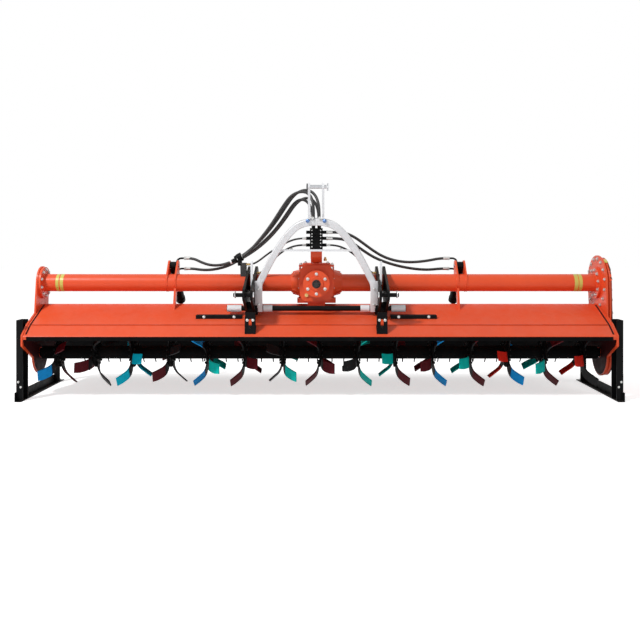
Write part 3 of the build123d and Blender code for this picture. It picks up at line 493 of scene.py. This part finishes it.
for z in coverSettings["sideBolts"]:
    share = (z - rotorAxis[1]) / (tubeAxis[1] - rotorAxis[1])
    middle = rotorAxis[0] + (tubeAxis[0] - rotorAxis[0]) * share
    half = coverSettings["lowRadius"] + (coverSettings["topRadius"] - coverSettings["lowRadius"]) * share
    for direction in (-1, 1):
        addBolt(coverBolts, at(coverFace, middle + direction * half, z), (1, 0, 0), coverSettings["boltSize"])
addBar(coverBolts, at(coverFace, *coverSettings["levelPlug"]), (1, 0, 0), 0.016, 0.007, 6)
gearCover = putPiece("gearCover", bm, "red_paint", "frame")
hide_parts("gear_case")
putPiece("gearCoverBolts", coverBolts, "zinc", "frame")
bm = bmesh.new()
for axis, radius, height, rimRadius in coverSettings["bosses"]:
    addBar(bm, at(coverFace, *axis), (1, 0, 0), radius, height, 48, rimRadius)
putPiece("gearCoverBosses", bm, "red_paint", "frame")
print("gear cover")

# Folded crease along the deck as a darker red strip, painted shade at the bend; seam beads at the deck's ends
# in dark red, painted shade; and a black strip on the front lip, painted shade
deckSettings = {"crease": ((-1961, 95, 508.6), (1961, 104, 511.2)),
                "lip": ((-1960, -1.5, 411), (1960, 8, 438)), "edge": 0.001, "seamX": 1968,
                "seam": ((18, 453), (99, 506.5), (366, 622)), "seamRadius": 0.0058}
bm = bmesh.new()
# the crease is a thin strip of darker red, painted shade along the bend
addPlate(bm, *[at(*corner) for corner in deckSettings["crease"]], deckSettings["edge"])
putPiece("deckCrease", bm, "creaseShadeRed", "frame")
# the seams at the deck's ends are dark red, painted shade along the joint
bm = bmesh.new()
for side in (-1, 1):
    seam = [at(side * deckSettings["seamX"], *spot) for spot in deckSettings["seam"]]
    for start, end in zip(seam, seam[1:]):
        addBar(bm, start, end - start, deckSettings["seamRadius"], (end - start).length, 10)
putPiece("deckSeams", bm, "shadedWine", "frame")
# the black strip on the front lip is painted shade under the lip
bm = bmesh.new()
addPlate(bm, *[at(*corner) for corner in deckSettings["lip"]], deckSettings["edge"])
putPiece("lipStrip", bm, "shadeBlack", "frame")

# Dark linings inside the side plates, painted shade on the red paint: an outline under the deck, or a lobe
# where that reaches further
liningSettings = {
    "outline": [(12, 386), (12, 428), (98, 492), (392, 616), (560, 588), (722, 506), (848, 436), (848, 336),
                (640, 260), (240, 260)],
    "lobes": {"left": 136.0, "right": 154.0}, "bore": 40.0, "steps": 96, "x": 1983.4, "thickness": 0.0022,
}


def outlineReach(angle):
    # how far the outline reaches from the rotor's axis in this direction
    middleY, middleZ = rotorAxis
    outline = liningSettings["outline"]
    best = 0.0
    for (y0, z0), (y1, z1) in zip(outline, outline[1:] + outline[:1]):
        stepY, stepZ = y1 - y0, z1 - z0
        across = cos(angle) * stepZ - sin(angle) * stepY
        if abs(across) < 1e-9:
            continue
        reach = ((y0 - middleY) * stepZ - (z0 - middleZ) * stepY) / across
        share = ((y0 - middleY) * sin(angle) - (z0 - middleZ) * cos(angle)) / across
        if reach > 0 and -1e-6 <= share <= 1 + 1e-6:
            best = max(best, reach)
    return best


for side, (sideName, lobe) in zip((-1, 1), liningSettings["lobes"].items()):
    bm = bmesh.new()
    inner, outer = [], []
    for step in range(liningSettings["steps"]):
        angle = 2 * pi * step / liningSettings["steps"]
        for ring, reach in ((inner, liningSettings["bore"]), (outer, max(lobe, outlineReach(angle)))):
            ring.append(bm.verts.new(at(side * liningSettings["x"], *onCircle(rotorAxis, reach, angle))))
    faces = []
    for step in range(liningSettings["steps"]):
        after = (step + 1) % liningSettings["steps"]
        faces.append(bm.faces.new((inner[step], outer[step], outer[after], inner[after])))
    made = bmesh.ops.extrude_face_region(bm, geom=faces)
    raised = [item for item in made["geom"] if isinstance(item, bmesh.types.BMVert)]
    bmesh.ops.translate(bm, verts=raised, vec=(side * liningSettings["thickness"], 0, 0))
    putPiece(f"{sideName}Lining", bm, "shadedWine", "frame")

# Small yellow patch near the top of the right end
patchSettings = {"middle": (2016, 309, 939), "size": (0.026, 0.045, 0.0012), "lean": 30, "edge": 0.0004}
bm = bmesh.new()
addLeaningPlate(bm, at(*patchSettings["middle"]), patchSettings["size"], radians(patchSettings["lean"]),
                patchSettings["edge"])
putPiece("yellowPatch", bm, "yellowBand", "frame")
print("deck, linings and patch")

# Gearbox bolts: each ring is its radius, count, bolt size and first angle
gearZ = tubeAxis[1]
gearboxSettings = {
    "noseRing": (0.069, 6, 0.0105, 30), "sideRing": (0.108, 10, 0.011, 18),
    "rearRing": (0.078, 8, 0.012, 22), "lidTop": 924, "lidSize": 0.0115, "footTop": 662,
    "footSize": 0.013, "flangeTop": 914, "flangeSize": 0.010,
}
bm = bmesh.new()
boltRing(bm, atHitch(0, 196, gearZ), (0, -1, 0), *gearboxSettings["noseRing"])
for x, y in [(x, y) for x in (-80, -27, 27, 80) for y in (325, 475)] + [(-80, 400), (80, 400)]:
    addBolt(bm, atHitch(x, y, gearboxSettings["lidTop"]), (0, 0, 1), gearboxSettings["lidSize"])
for x in (-122, 122):
    for y in (345, 455):
        addBolt(bm, atHitch(x, y, gearboxSettings["footTop"]), (0, 0, 1), gearboxSettings["footSize"])
for side in (-1, 1):
    boltRing(bm, atHitch(side * 115, *tubeAxis), (side, 0, 0), *gearboxSettings["sideRing"])
boltRing(bm, atHitch(0, 518, gearZ), (0, 1, 0), *gearboxSettings["rearRing"])
putPiece("gearboxBolts", bm, "zinc", "frame")

# Round covers on the nose, the cones and the rear, and webs from the nose's flange to the housing
gearboxDiscs = {
    "nose": ((0, 197, gearZ), (0, -1, 0), 0.050, 0.010, 48, 0.047),
    "leftCone": ((-114, *tubeAxis), (-1, 0, 0), 0.121, 0.010, 56, 0.119),
    "rightCone": ((114, *tubeAxis), (1, 0, 0), 0.121, 0.010, 56, 0.119),
    "rear": ((0, 517, gearZ), (0, 1, 0), 0.094, 0.012, 56, 0.090),
    "rearCap": ((0, 529, gearZ), (0, 1, 0), 0.052, 0.010, 40, 0.046),
}
webSettings = {"angles": range(30, 360, 60), "ring": 66, "y": 206, "web": (0.017, 0.085, 16)}
bm = bmesh.new()
addBars(bm, gearboxDiscs.values())
for angle in webSettings["angles"]:
    webX, webZ = onCircle((0, gearZ), webSettings["ring"], radians(angle))
    addBar(bm, atHitch(webX, webSettings["y"], webZ), (0, 1, 0), *webSettings["web"])
putPiece("gearboxCovers", bm, "red_paint", "frame")

# Seal round the input shaft, and brass plugs: a breather with its cap, and a drain
sealSettings = {"disc": ((0, 190, gearZ), (0, -1, 0), 0.031, 0.007, 40, 0.029), "lipY": 183,
                "lip": (0.026, 0.003, 40, 10)}
bm = bmesh.new()
addBars(bm, [sealSettings["disc"]])
addRing(bm, atHitch(0, sealSettings["lipY"], gearZ), (0, 1, 0), *sealSettings["lip"])
putPiece("inputSeal", bm, "rubber", "frame")
plugSettings = {"breather": ((62, 300, 940), (0, 0, 1), 0.013, 0.016, 6),
                "breatherCap": ((62, 300, 956), (0, 0, 1), 0.008, 0.012, 16, 0.006),
                "drain": ((-70, 282, 700), (0, -1, 0), 0.014, 0.010, 6)}
bm = bmesh.new()
addBars(bm, plugSettings.values())
putPiece("gearboxPlugs", bm, "brass", "frame")

# Wide top flange with its bolts, and ribs on the cones
ribSettings = {"turns": (40, 90, 140, 220, 270, 320), "x": 116, "ring": 88, "slope": -0.28,
               "rib": (0.008, 0.056, 10)}
flangeTop = gearboxSettings["flangeTop"]
bm = bmesh.new()
addPlate(bm, atHitch(-124, 288, flangeTop - 16), atHitch(124, 512, flangeTop), 0.004)
for side in (-1, 1):
    for turn in ribSettings["turns"]:
        angle = radians(turn)
        lean = (side, *onCircle((0, 0), ribSettings["slope"], angle))
        spot = atHitch(side * ribSettings["x"], *onCircle(tubeAxis, ribSettings["ring"], angle))
        addBar(bm, spot, lean, *ribSettings["rib"])
putPiece("gearboxRibs", bm, "red_paint", "frame")
bm = bmesh.new()
for x in (-113, 113):
    for y in (300, 400, 500):
        addBolt(bm, atHitch(x, y, flangeTop), (0, 0, 1), gearboxSettings["flangeSize"])
putPiece("flangeBolts", bm, "zinc", "frame")
print("gearbox")

# Stiffeners on the back of the levelling board, wings that close its ends, and bolts on its upper strip
boardSettings = {
    "lean": atan2(-340, 328), "ribs": (-1500, -500, 500, 1500), "ribMiddle": (918, 349),
    "ribSize": (0.010, 0.34, 0.024), "strips": ((1039, 216, 0.014), (799.6, 461.4, 0.010)),
    "stripSize": (3.86, 0.030), "wingMiddle": (1982, 962, 282),
    "wingSize": (0.074, 0.210, 0.004), "wingEdge": 0.001, "boltCount": 16, "boltHalf": 1850,
    "boltPlace": (803, 465), "boltAxis": (0, 0.72, 0.69), "boltSize": 0.0095,
}
bm = bmesh.new()
for x in boardSettings["ribs"]:
    addLeaningPlate(bm, at(x, *boardSettings["ribMiddle"]), boardSettings["ribSize"], boardSettings["lean"])
for y, z, height in boardSettings["strips"]:
    addLeaningPlate(bm, at(0, y, z), (*boardSettings["stripSize"], height), boardSettings["lean"], 0.003)
putPiece("boardRibs", bm, "black_paint", "board")
# the wings at the board's ends are near-black, painted shade
bm = bmesh.new()
wingX, wingY, wingZ = boardSettings["wingMiddle"]
for side in (-1, 1):
    addLeaningPlate(bm, at(side * wingX, wingY, wingZ), boardSettings["wingSize"], boardSettings["lean"],
                    boardSettings["wingEdge"])
putPiece("boardWings", bm, "shadeBlack", "board")
bm = bmesh.new()
for step in range(boardSettings["boltCount"]):
    x = -boardSettings["boltHalf"] + step * 2 * boardSettings["boltHalf"] / (boardSettings["boltCount"] - 1)
    addBolt(bm, at(x, *boardSettings["boltPlace"]), boardSettings["boltAxis"], boardSettings["boltSize"])
putPiece("boardBolts", bm, "zinc", "board")
print("levelling board")

# Headstock: a linch pin with its spring ring through each link pin, and a collar on its inner end
plateX = 490                    # outer face of the hitch plates, from the middle of the hitch
linchSettings = {"x": plateX + 50, "y": -6, "stemTop": 742, "stem": (0.0045, 0.046, 12), "ringZ": 722,
                 "ring": (0.021, 0.0026, 30, 8), "collarX": plateX - 76, "collarZ": 718,
                 "collar": (0.021, 0.006, 24)}
bm = bmesh.new()
for side in (-1, 1):
    pinX, pinY = side * linchSettings["x"], linchSettings["y"]
    addBar(bm, atHitch(pinX, pinY, linchSettings["stemTop"]), (0, 0, -1), *linchSettings["stem"])
    addRing(bm, atHitch(pinX, pinY, linchSettings["ringZ"]), (1, 0, 0), *linchSettings["ring"])
    collarSpot = atHitch(side * linchSettings["collarX"], pinY, linchSettings["collarZ"])
    addBar(bm, collarSpot, (side, 0, 0), *linchSettings["collar"])
putPiece("linchPins", bm, "chrome", "frame")

# Castings on the cross shaft between the hitch plates, and small plates in front of them
hubSettings = {"barrelX": 408, "barrel": (0.045, 0.080, 48), "sleeveX": 404, "sleeve": (0.034, 0.088, 40),
               "plateX": (409, 476), "plateLow": (21, 566), "plateHigh": (29, 600)}
bm = bmesh.new()
for side in (-1, 1):
    addBar(bm, atHitch(side * hubSettings["barrelX"], *shaftAxis), (side, 0, 0), *hubSettings["barrel"])
    addBar(bm, atHitch(side * hubSettings["sleeveX"], *shaftAxis), (side, 0, 0), *hubSettings["sleeve"])
    lowX, highX = sorted(side * x for x in hubSettings["plateX"])
    addPlate(bm, atHitch(lowX, *hubSettings["plateLow"]), atHitch(highX, *hubSettings["plateHigh"]))
putPiece("shaftHubs", bm, "black_paint", "frame")

# Top pin: its T handle on one end and its clip on the other
handleSettings = {"stem": ((62, 4, 1441), (1, 0, 0), 0.009, 0.018, 20),
                  "grip": ((80, 4, 1414), (0, 0, 1), 0.0075, 0.050, 20)}
bm = bmesh.new()
addBars(bm, handleSettings.values())
putPiece("topPinHandle", bm, "chrome", "frame")
clipSettings = {"ringMiddle": (-60, 4, 1441), "ring": (0.019, 0.0032, 26, 8),
                "stem": ((-60, 4, 1462), (0, 0, -1), 0.004, 0.042, 12)}
bm = bmesh.new()
addRing(bm, atHitch(*clipSettings["ringMiddle"]), (1, 0, 0), *clipSettings["ring"])
addBars(bm, [clipSettings["stem"]])
putPiece("topPinClip", bm, "black_paint", "frame")

# Bolts on the hitch plates, the slotted plates and the small plates
headSettings = {"plateBolts": ((100, 700), (150, 640), (250, 780), (300, 690)), "boltSize": 0.0125,
                "slotBolts": (568, 776), "slotSize": 0.0095, "clampBolts": (424, 462), "clampSize": 0.009}
bm = bmesh.new()
for side in (-1, 1):
    for y, z in headSettings["plateBolts"]:
        addBolt(bm, atHitch(side * plateX, y, z), (side, 0, 0), headSettings["boltSize"])
    for x in headSettings["slotBolts"]:
        addBolt(bm, atHitch(side * x, 178, 556), (0, -1, 0), headSettings["slotSize"])
    for x in headSettings["clampBolts"]:
        addBolt(bm, atHitch(side * x, 19.5, 548), (0, -1, 0), headSettings["clampSize"])
putPiece("hitchBolts", bm, "zinc", "frame")
print("headstock")

# Arch: a square tube bent round in one smooth curve, leaning forward from the cross shaft
archSettings = {"tube": 0.046, "corner": 0.005, "lean": (160, 624), "crown": (0, 618),
                "half": [(60, 613), (118, 594), (164, 557), (205, 509), (250, 447), (312, 344),
                         (366, 235), (392, 186), (398, 140), (398, 60), (398, -5)]}
leanY, leanZ = archSettings["lean"]
leanRun = hypot(leanY, leanZ)
archHalf = archSettings["half"]
archLine = [(-x, along) for x, along in reversed(archHalf)] + [archSettings["crown"]] + archHalf
edgeAt = archSettings["tube"] / 2
innerAt = edgeAt - archSettings["corner"]
profileCorners = [(edgeAt, innerAt), (innerAt, edgeAt), (-innerAt, edgeAt), (-edgeAt, innerAt),
                  (-edgeAt, -innerAt), (-innerAt, -edgeAt), (innerAt, -edgeAt), (edgeAt, -innerAt)]
profileCurve = bpy.data.curves.new("archProfile", "CURVE")
profileCurve.dimensions = "2D"
profileSpline = profileCurve.splines.new("POLY")
profileSpline.points.add(len(profileCorners) - 1)
for point, corner in zip(profileSpline.points, profileCorners):
    point.co = (*corner, 0, 1)
profileSpline.use_cyclic_u = True
profileObject = putObject("archProfile", profileCurve)
archCurve = smoothCurve("archLine", [
    atHitch(x, shaftAxis[0] - along * leanY / leanRun, shaftAxis[1] + along * leanZ / leanRun)
    for x, along in archLine])
archCurve.bevel_mode = "OBJECT"
archCurve.bevel_object = profileObject
archMesh = bakedMesh(putObject("archLine", archCurve))
bpy.data.objects.remove(profileObject)
bm = bmesh.new()
bm.from_mesh(archMesh)
smoothArch = putPiece("smoothArch", bm, "white_paint", "frame", sharp=40)
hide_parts("arch")

# Squared plates over the arch's feet, slender stays beside the hitch plates, and round gussets at its ears
footSettings = {"x": 398, "middle": (172, 697), "size": (0.050, 0.008, 0.222), "stayX": 443,
                "stayLow": {-1: 676, 1: 780}, "stayTop": 941, "boltHeights": (640, 750), "boltSlope": 0.256,
                "boltProud": 31, "boltAxis": (0, -0.97, -0.25), "boltSize": 0.0085, "crownSize": 0.013}
bm = bmesh.new()
for side in (-1, 1):
    addLeaningPlate(bm, atHitch(side * footSettings["x"], *footSettings["middle"]), footSettings["size"],
                    atan2(leanY, leanZ))
    stayX = side * footSettings["stayX"]
    addPlate(bm, atHitch(stayX - 8, 146, footSettings["stayLow"][side]),
             atHitch(stayX + 8, 154, footSettings["stayTop"]))
    addBar(bm, atHitch(side * 39, 50, 1262), (side, 0, 0), 0.030, 0.006, 32)
putPiece("archPlates", bm, "white_paint", "frame")
bm = bmesh.new()
for side in (-1, 1):
    addBar(bm, atHitch(side * 24, 40, 1232), (0, -1, 0.2), 0.011, 0.006, 6)
    for height in footSettings["boltHeights"]:
        y = shaftAxis[0] - footSettings["boltSlope"] * (height - shaftAxis[1]) - footSettings["boltProud"]
        addBolt(bm, atHitch(side * footSettings["x"], y, height), footSettings["boltAxis"],
                footSettings["boltSize"])
putPiece("archBolts", bm, "zinc", "frame")
# the bolts at the arch's crown are tinted blue, painted shade
bm = bmesh.new()
for side in (-1, 1):
    addBolt(bm, atHitch(side * 57, 38, 1214), footSettings["boltAxis"], footSettings["crownSize"])
putPiece("crownBolts", bm, "bluishShadeSteel", "frame")
print("arch")

# Weld beads round the tubes at their brackets, the gearbox and the end flanges
weldSettings = {"brackets": [side * 1035 + offset for side in (-1, 1) for offset in (-37, -25, 25, 37)],
                "fine": (0.0625, 0.0028, 40, 8), "gearbox": (-177, 177),
                "atGearbox": (0.0640, 0.0040, 48, 8), "atEnds": (0.0635, 0.0040, 48, 8)}
bm = bmesh.new()
for x in weldSettings["brackets"]:
    addRing(bm, atHitch(x, *tubeAxis), (1, 0, 0), *weldSettings["fine"])
for x in weldSettings["gearbox"]:
    addRing(bm, atHitch(x, *tubeAxis), (1, 0, 0), *weldSettings["atGearbox"])
for x in (-tubeEnd, tubeEnd):
    addRing(bm, at(x, *tubeAxis), (1, 0, 0), *weldSettings["atEnds"])
putPiece("tubeWelds", bm, "red_paint", "frame")

# Valve block: cover plates, their screws, and bolts on its bracket
valveSettings = {"plates": (1052, 1098, 1140), "plateHalf": (36, 18), "front": 143, "plateBack": 148,
                 "screws": (1040, 1064, 1086, 1110, 1128, 1152), "screwX": (-30, 30),
                 "bracketBolts": (-250, -170, 170, 250)}
bm = bmesh.new()
halfX, halfZ = valveSettings["plateHalf"]
for z in valveSettings["plates"]:
    addPlate(bm, atHitch(-halfX, valveSettings["front"], z - halfZ),
             atHitch(halfX, valveSettings["plateBack"], z + halfZ), 0.002)
putPiece("valvePlates", bm, "black_paint", "frame")
bm = bmesh.new()
for z in valveSettings["screws"]:
    for x in valveSettings["screwX"]:
        addBar(bm, atHitch(x, valveSettings["front"], z), (0, -1, 0), 0.0042, 0.004, 12)
for x in valveSettings["bracketBolts"]:
    addBolt(bm, atHitch(x, 165, 1022), (0, 0, 1), 0.010)
putPiece("valveScrews", bm, "zinc", "frame")
print("welds and valve block")

# Hoses: the same routes as the solids, in millimetres
hoseRoutes = {
    "tractor_hose_1": {"radius": 10.0, "route": [
        (-44, 181, 1194.5), (-42, 182, 1268), (-46, 188, 1342), (-65, 217, 1398), (-105, 260, 1426),
        (-160, 299, 1424), (-216, 322, 1392), (-276, 337, 1306), (-344, 345, 1199),
        (-420, 350, 1099), (-496, 354, 1013), (-552, 356, 966), (-590, 357, 950)]},
    "tractor_hose_2": {"radius": 10.0, "route": [
        (-4, 181, 1194.5), (-3, 183, 1266), (-8, 192, 1338), (-30, 226, 1400), (-74, 276, 1438),
        (-134, 320, 1438), (-190, 348, 1402), (-250, 362, 1314), (-320, 368, 1208),
        (-402, 372, 1108), (-488, 375, 1026), (-552, 377, 976), (-590, 378, 956)]},
    "left_hose_1": {"radius": 10.0, "route": [
        (-44, 214, 1110), (-44, 260, 1110), (-45, 306, 1140), (-47, 330, 1190), (-50, 338, 1252),
        (-62, 345, 1318), (-92, 356, 1366), (-138, 366, 1380), (-187, 377, 1350), (-234, 388, 1282),
        (-293, 397, 1196), (-371, 403, 1107), (-460, 405, 1030), (-552, 406, 970),
        (-640, 420, 928), (-725, 456, 904), (-808, 510, 905), (-880, 566, 926), (-943, 609.5, 954),
        (-998.7, 609.5, 954)]},
    "left_hose_2": {"radius": 10.0, "route": [
        (-4, 214, 1110), (-4, 264, 1110), (-5, 314, 1142), (-6, 342, 1194), (-8, 356, 1260),
        (-18, 364, 1322), (-44, 374, 1370), (-88, 386, 1392), (-138, 398, 1378), (-184, 408, 1336),
        (-236, 420, 1258), (-306, 430, 1166), (-390, 435, 1076), (-488, 437, 1000),
        (-580, 440, 946), (-660, 454, 902), (-745, 492, 878), (-824, 544, 868), (-888, 590, 869),
        (-945, 619.5, 876.7), (-998.7, 619.5, 876.7)]},
    "right_hose_1": {"radius": 10.0, "route": [
        (46, 181, 1140), (104, 181, 1140), (170, 210, 1138), (240, 262, 1110), (310, 318, 1062),
        (380, 372, 1012), (455, 420, 968), (545, 464, 938), (640, 507, 926), (730, 548, 929),
        (812, 584, 939), (892, 609.5, 954), (950.7, 609.5, 954)]},
    "right_hose_2": {"radius": 10.0, "route": [
        (46, 181, 1098), (104, 181, 1098), (172, 218, 1091), (240, 276, 1060), (308, 335, 1012),
        (382, 392, 966), (462, 440, 932), (552, 486, 904), (645, 530, 884), (735, 572, 872),
        (815, 602, 869), (892, 619.5, 876.7), (950.7, 619.5, 876.7)]},
    "link_hose_left_1": {"radius": 6.5, "route": [
        (-94, 181, 1098), (-148, 181, 1098), (-215, 214, 1078), (-290, 262, 1040),
        (-370, 312, 988), (-438, 354, 936), (-484, 372, 914), (-525.5, 372, 914)]},
    "link_hose_left_2": {"radius": 6.5, "route": [
        (-94, 181, 1052), (-148, 181, 1052), (-212, 210, 1034), (-276, 250, 996),
        (-332, 290, 945), (-374, 320, 894), (-408, 334, 855), (-445.5, 334, 855)]},
    "link_hose_right": {"radius": 6.5, "route": [
        (46, 181, 1052), (100, 181, 1052), (164, 210, 1034), (228, 250, 996),
        (284, 290, 945), (326, 320, 894), (360, 334, 855), (397.5, 334, 855)]},
}
# Fittings in a hose's radii: each one's radius and length, and the radius of the ferrule's end
fittingSettings = {"nut": (1.35, 1.1), "collar": (1.12, 0.5), "ferrule": (1.26, 2.6, 1.2), "backing": 0.001}
nutRound, nutLong = fittingSettings["nut"]
collarRound, collarLong = fittingSettings["collar"]
ferruleRound, ferruleLong, ferruleEnd = fittingSettings["ferrule"]
zincFittings = bmesh.new()
brassFittings = bmesh.new()
for hoseName, hose in hoseRoutes.items():
    route = [at(*spot) for spot in hose["route"]]
    width = hose["radius"] / 1000
    toBarrel = hoseName.startswith(("left_hose", "right_hose"))
    curve = smoothCurve(hoseName + "_line", route)
    curve.bevel_depth = width
    curve.bevel_resolution = 5
    curve.materials.append(finishes["rubber"])
    hoseObject = putObject(hoseName + "_smooth", curve)
    if toBarrel:
        # the end on the cylinder swings with its barrel, so the hose is made a mesh
        tube = bakedMesh(hoseObject)
        hoseObject = putObject(hoseName + "_smooth", tube)
        tube.shade_smooth()
        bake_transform(hoseObject)
    else:
        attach(hoseObject, "frame")
    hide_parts(hoseName)
    # a fitting at each end that stays on the frame, brass at the far end of a link hose
    ends = [(route[0], route[1], zincFittings)]
    if not toBarrel:
        farFittings = brassFittings if hoseName.startswith("link_hose") else zincFittings
        ends.append((route[-1], route[-2], farFittings))
    for start, inner, target in ends:
        away = (inner - start).normalized()
        addBar(target, start - away * fittingSettings["backing"], away, width * nutRound, width * nutLong, 6)
        addBar(target, start + away * width * nutLong, away, width * collarRound, width * collarLong, 20)
        addBar(target, start + away * width * (nutLong + collarLong), away, width * ferruleRound,
               width * ferruleLong, 24, width * ferruleEnd)
putPiece("hoseFittings", zincFittings, "zinc", "frame")
putPiece("brassFittings", brassFittings, "brass", "frame")
for sideName, side in (("left", -1), ("right", 1)):
    barrelFittings = bmesh.new()
    away = Vector((-side, 0, 0))
    for hoseNumber in (1, 2):
        start = at(*hoseRoutes[f"{sideName}_hose_{hoseNumber}"]["route"][-1])
        addBar(barrelFittings, start - away * 0.012, away, 0.0125, 0.016, 6)
        addBar(barrelFittings, start + away * 0.004, away, 0.0122, 0.032, 24, 0.0114)
    putPiece(f"{sideName}BarrelFittings", barrelFittings, "zinc", f"{sideName}_barrel_body")
print("hoses", len(hoseRoutes))

# Quick couplings with white dust caps on the tractor's hoses: y, z and direction of each plug
couplerSettings = {
    "holder": ((-556, 366, 972), (-40, 1, -21), 0.031, 0.034, 32),
    "holderEnd": ((-590, 367, 953), (-40, 1, -17), 0.029, 0.016, 32, 0.026),
    "foot": ((-584, 341, 905), (-556, 385, 960)), "footEdge": 0.004,
    "plugX": -590, "plugs": ((357, 950, (-38, 1, -16)), (378, 956, (-38, 1, -20))), "gap": 0.0005,
    "nut": (0.0135, 0.012), "sleeve": (0.0125, 0.030), "ringAt": 0.028, "ringWire": 0.0018, "capAt": 0.040,
    "cap": (0.0150, 0.012, 28, 0.0140),
}
couplerBody = bmesh.new()
for holder, axis, *shape in (couplerSettings["holder"], couplerSettings["holderEnd"]):
    addBar(couplerBody, at(*holder), axis, *shape)
addPlate(couplerBody, *[at(*corner) for corner in couplerSettings["foot"]], couplerSettings["footEdge"])
couplerCap = bmesh.new()
nutRadius, nutLength = couplerSettings["nut"]
sleeveRadius, sleeveLength = couplerSettings["sleeve"]
for y, z, back in couplerSettings["plugs"]:
    away = Vector(back).normalized()
    start = at(couplerSettings["plugX"], y, z) + away * couplerSettings["gap"]
    ringSpot, capSpot = [start + away * couplerSettings[place] for place in ("ringAt", "capAt")]
    addBar(couplerBody, start, away, nutRadius, nutLength, 6)
    addBar(couplerBody, start + away * nutLength, away, sleeveRadius, sleeveLength, 28)
    addRing(couplerBody, ringSpot, away, sleeveRadius, couplerSettings["ringWire"], 28, 8)
    addBar(couplerCap, capSpot, away, *couplerSettings["cap"])
putPiece("couplers", couplerBody, "black_paint", "frame")
putPiece("couplerCaps", couplerCap, "white_paint", "frame")

# Bolts on the parking stands: two on the front of each leg and one on its rear rail
standSettings = {"x": 2019, "legY": 40, "legBolts": ((-8, 96), (9, 130)), "legSize": 0.0075, "rail": (868, 6),
                 "railSize": 0.011}
bm = bmesh.new()
for side in (-1, 1):
    x = side * standSettings["x"]
    for shift, z in standSettings["legBolts"]:
        addBolt(bm, at(x + side * shift, standSettings["legY"], z), (0, -1, 0), standSettings["legSize"])
    addBolt(bm, at(x, *standSettings["rail"]), (0, 0, 1), standSettings["railSize"])
putPiece("standBolts", bm, "zinc", "frame")

# Flange bolts on both faces of each of the rotor's flanges
rotorSettings = {"face": 14.2, "ring": 76, "count": 12, "first": 8, "bolt": (0.0085, 0.008, 6)}
bm = bmesh.new()
for step in range(flangeCount):
    flangeX = flangePitch * (step - flangeCount // 2)
    for direction in (-1, 1):
        for turn in range(rotorSettings["count"]):
            angle = radians(turn * 360 / rotorSettings["count"] + rotorSettings["first"])
            spot = onCircle(rotorAxis, rotorSettings["ring"], angle)
            addBar(bm, at(flangeX + direction * rotorSettings["face"], *spot), (direction, 0, 0),
                   *rotorSettings["bolt"])
putPiece("rotorBolts", bm, "black_paint", "rotor")
print("couplings, stands and rotor bolts")


# Floor, light and camera
def seenRays(tree):
    # 1 for rays from the camera, off glossy metal or through glass, and 0 for the light on the machine
    rays = tree.nodes.new("ShaderNodeLightPath")
    seen = combine(tree, "MAXIMUM", rays.outputs["Is Camera Ray"], rays.outputs["Is Glossy Ray"])
    return combine(tree, "MAXIMUM", seen, rays.outputs["Is Transmission Ray"])


floorSettings = {"half": 30.0, "tone": (0.86, 0.86, 0.86), "rough": 0.9, "sheen": 0.1, "lift": 0.62}
bm = bmesh.new()
bmesh.ops.create_grid(bm, x_segments=1, y_segments=1, size=floorSettings["half"])
floorMesh = bpy.data.meshes.new("floor")
bm.to_mesh(floorMesh)
bm.free()
floor = putObject("floor", floorMesh)
floorMat = bpy.data.materials.new("floorPaint")
floorMat.use_nodes = True
floorTree = floorMat.node_tree
floorShader = floorTree.nodes["Principled BSDF"]
floorShader.inputs["Base Color"].default_value = (*floorSettings["tone"], 1.0)
floorShader.inputs["Roughness"].default_value = floorSettings["rough"]
floorShader.inputs["Specular IOR Level"].default_value = floorSettings["sheen"]
floorShader.inputs["Emission Color"].default_value = (1, 1, 1, 1)
floorLift = combine(floorTree, "MULTIPLY", seenRays(floorTree), floorSettings["lift"])
floorTree.links.new(floorLift, floorShader.inputs["Emission Strength"])
floorMesh.materials.append(floorMat)

skySettings = {"light": 0.42, "seen": 1.0}      # what falls on the machine, and what the camera sees
world = bpy.data.worlds.new("studioSky")
bpy.context.scene.world = world
world.use_nodes = True
skyTree = world.node_tree
backdrop = skyTree.nodes["Background"]
skyStrength = rampOn(skyTree, seenRays(skyTree), 0.0, 1.0, skySettings["light"], skySettings["seen"])
skyTree.links.new(skyStrength, backdrop.inputs["Strength"])
backdrop.inputs["Color"].default_value = (1, 1, 1, 1)

# Each lamp is its spot, what it points at, its size and its watts.
lampSettings = {"key": ((-5.7, -6.0, 8.1), (0, 0, 0.4), 1.1, 770.0),
                "side": ((5.0, -1.0, 3.0), (0, 0, 0.5), 2.5, 18.0)}
for lampName, (spot, target, size, watts) in lampSettings.items():
    lampData = bpy.data.lights.new(lampName, "AREA")
    lampData.shape = "SQUARE"
    lampData.size = size
    lampData.energy = watts
    lamp = putObject(lampName, lampData)
    lamp.location = spot
    lamp.rotation_euler = (Vector(target) - Vector(spot)).to_track_quat("-Z", "Y").to_euler()

cameraSettings = {"spot": (0.022, -5.888, 1.045), "lens": 45.0, "shift": (-0.0047, -0.1156), "sensor": 36.0}
cameraData = bpy.data.cameras.new("frontCamera")
cameraData.lens = cameraSettings["lens"]
cameraData.sensor_width = cameraSettings["sensor"]
cameraData.shift_x, cameraData.shift_y = cameraSettings["shift"]
camera = putObject("frontCamera", cameraData)
camera.location = cameraSettings["spot"]
camera.rotation_euler = (radians(90), 0, 0)
bpy.context.scene.camera = camera
bpy.context.scene.view_settings.view_transform = "Standard"
print("stage set")
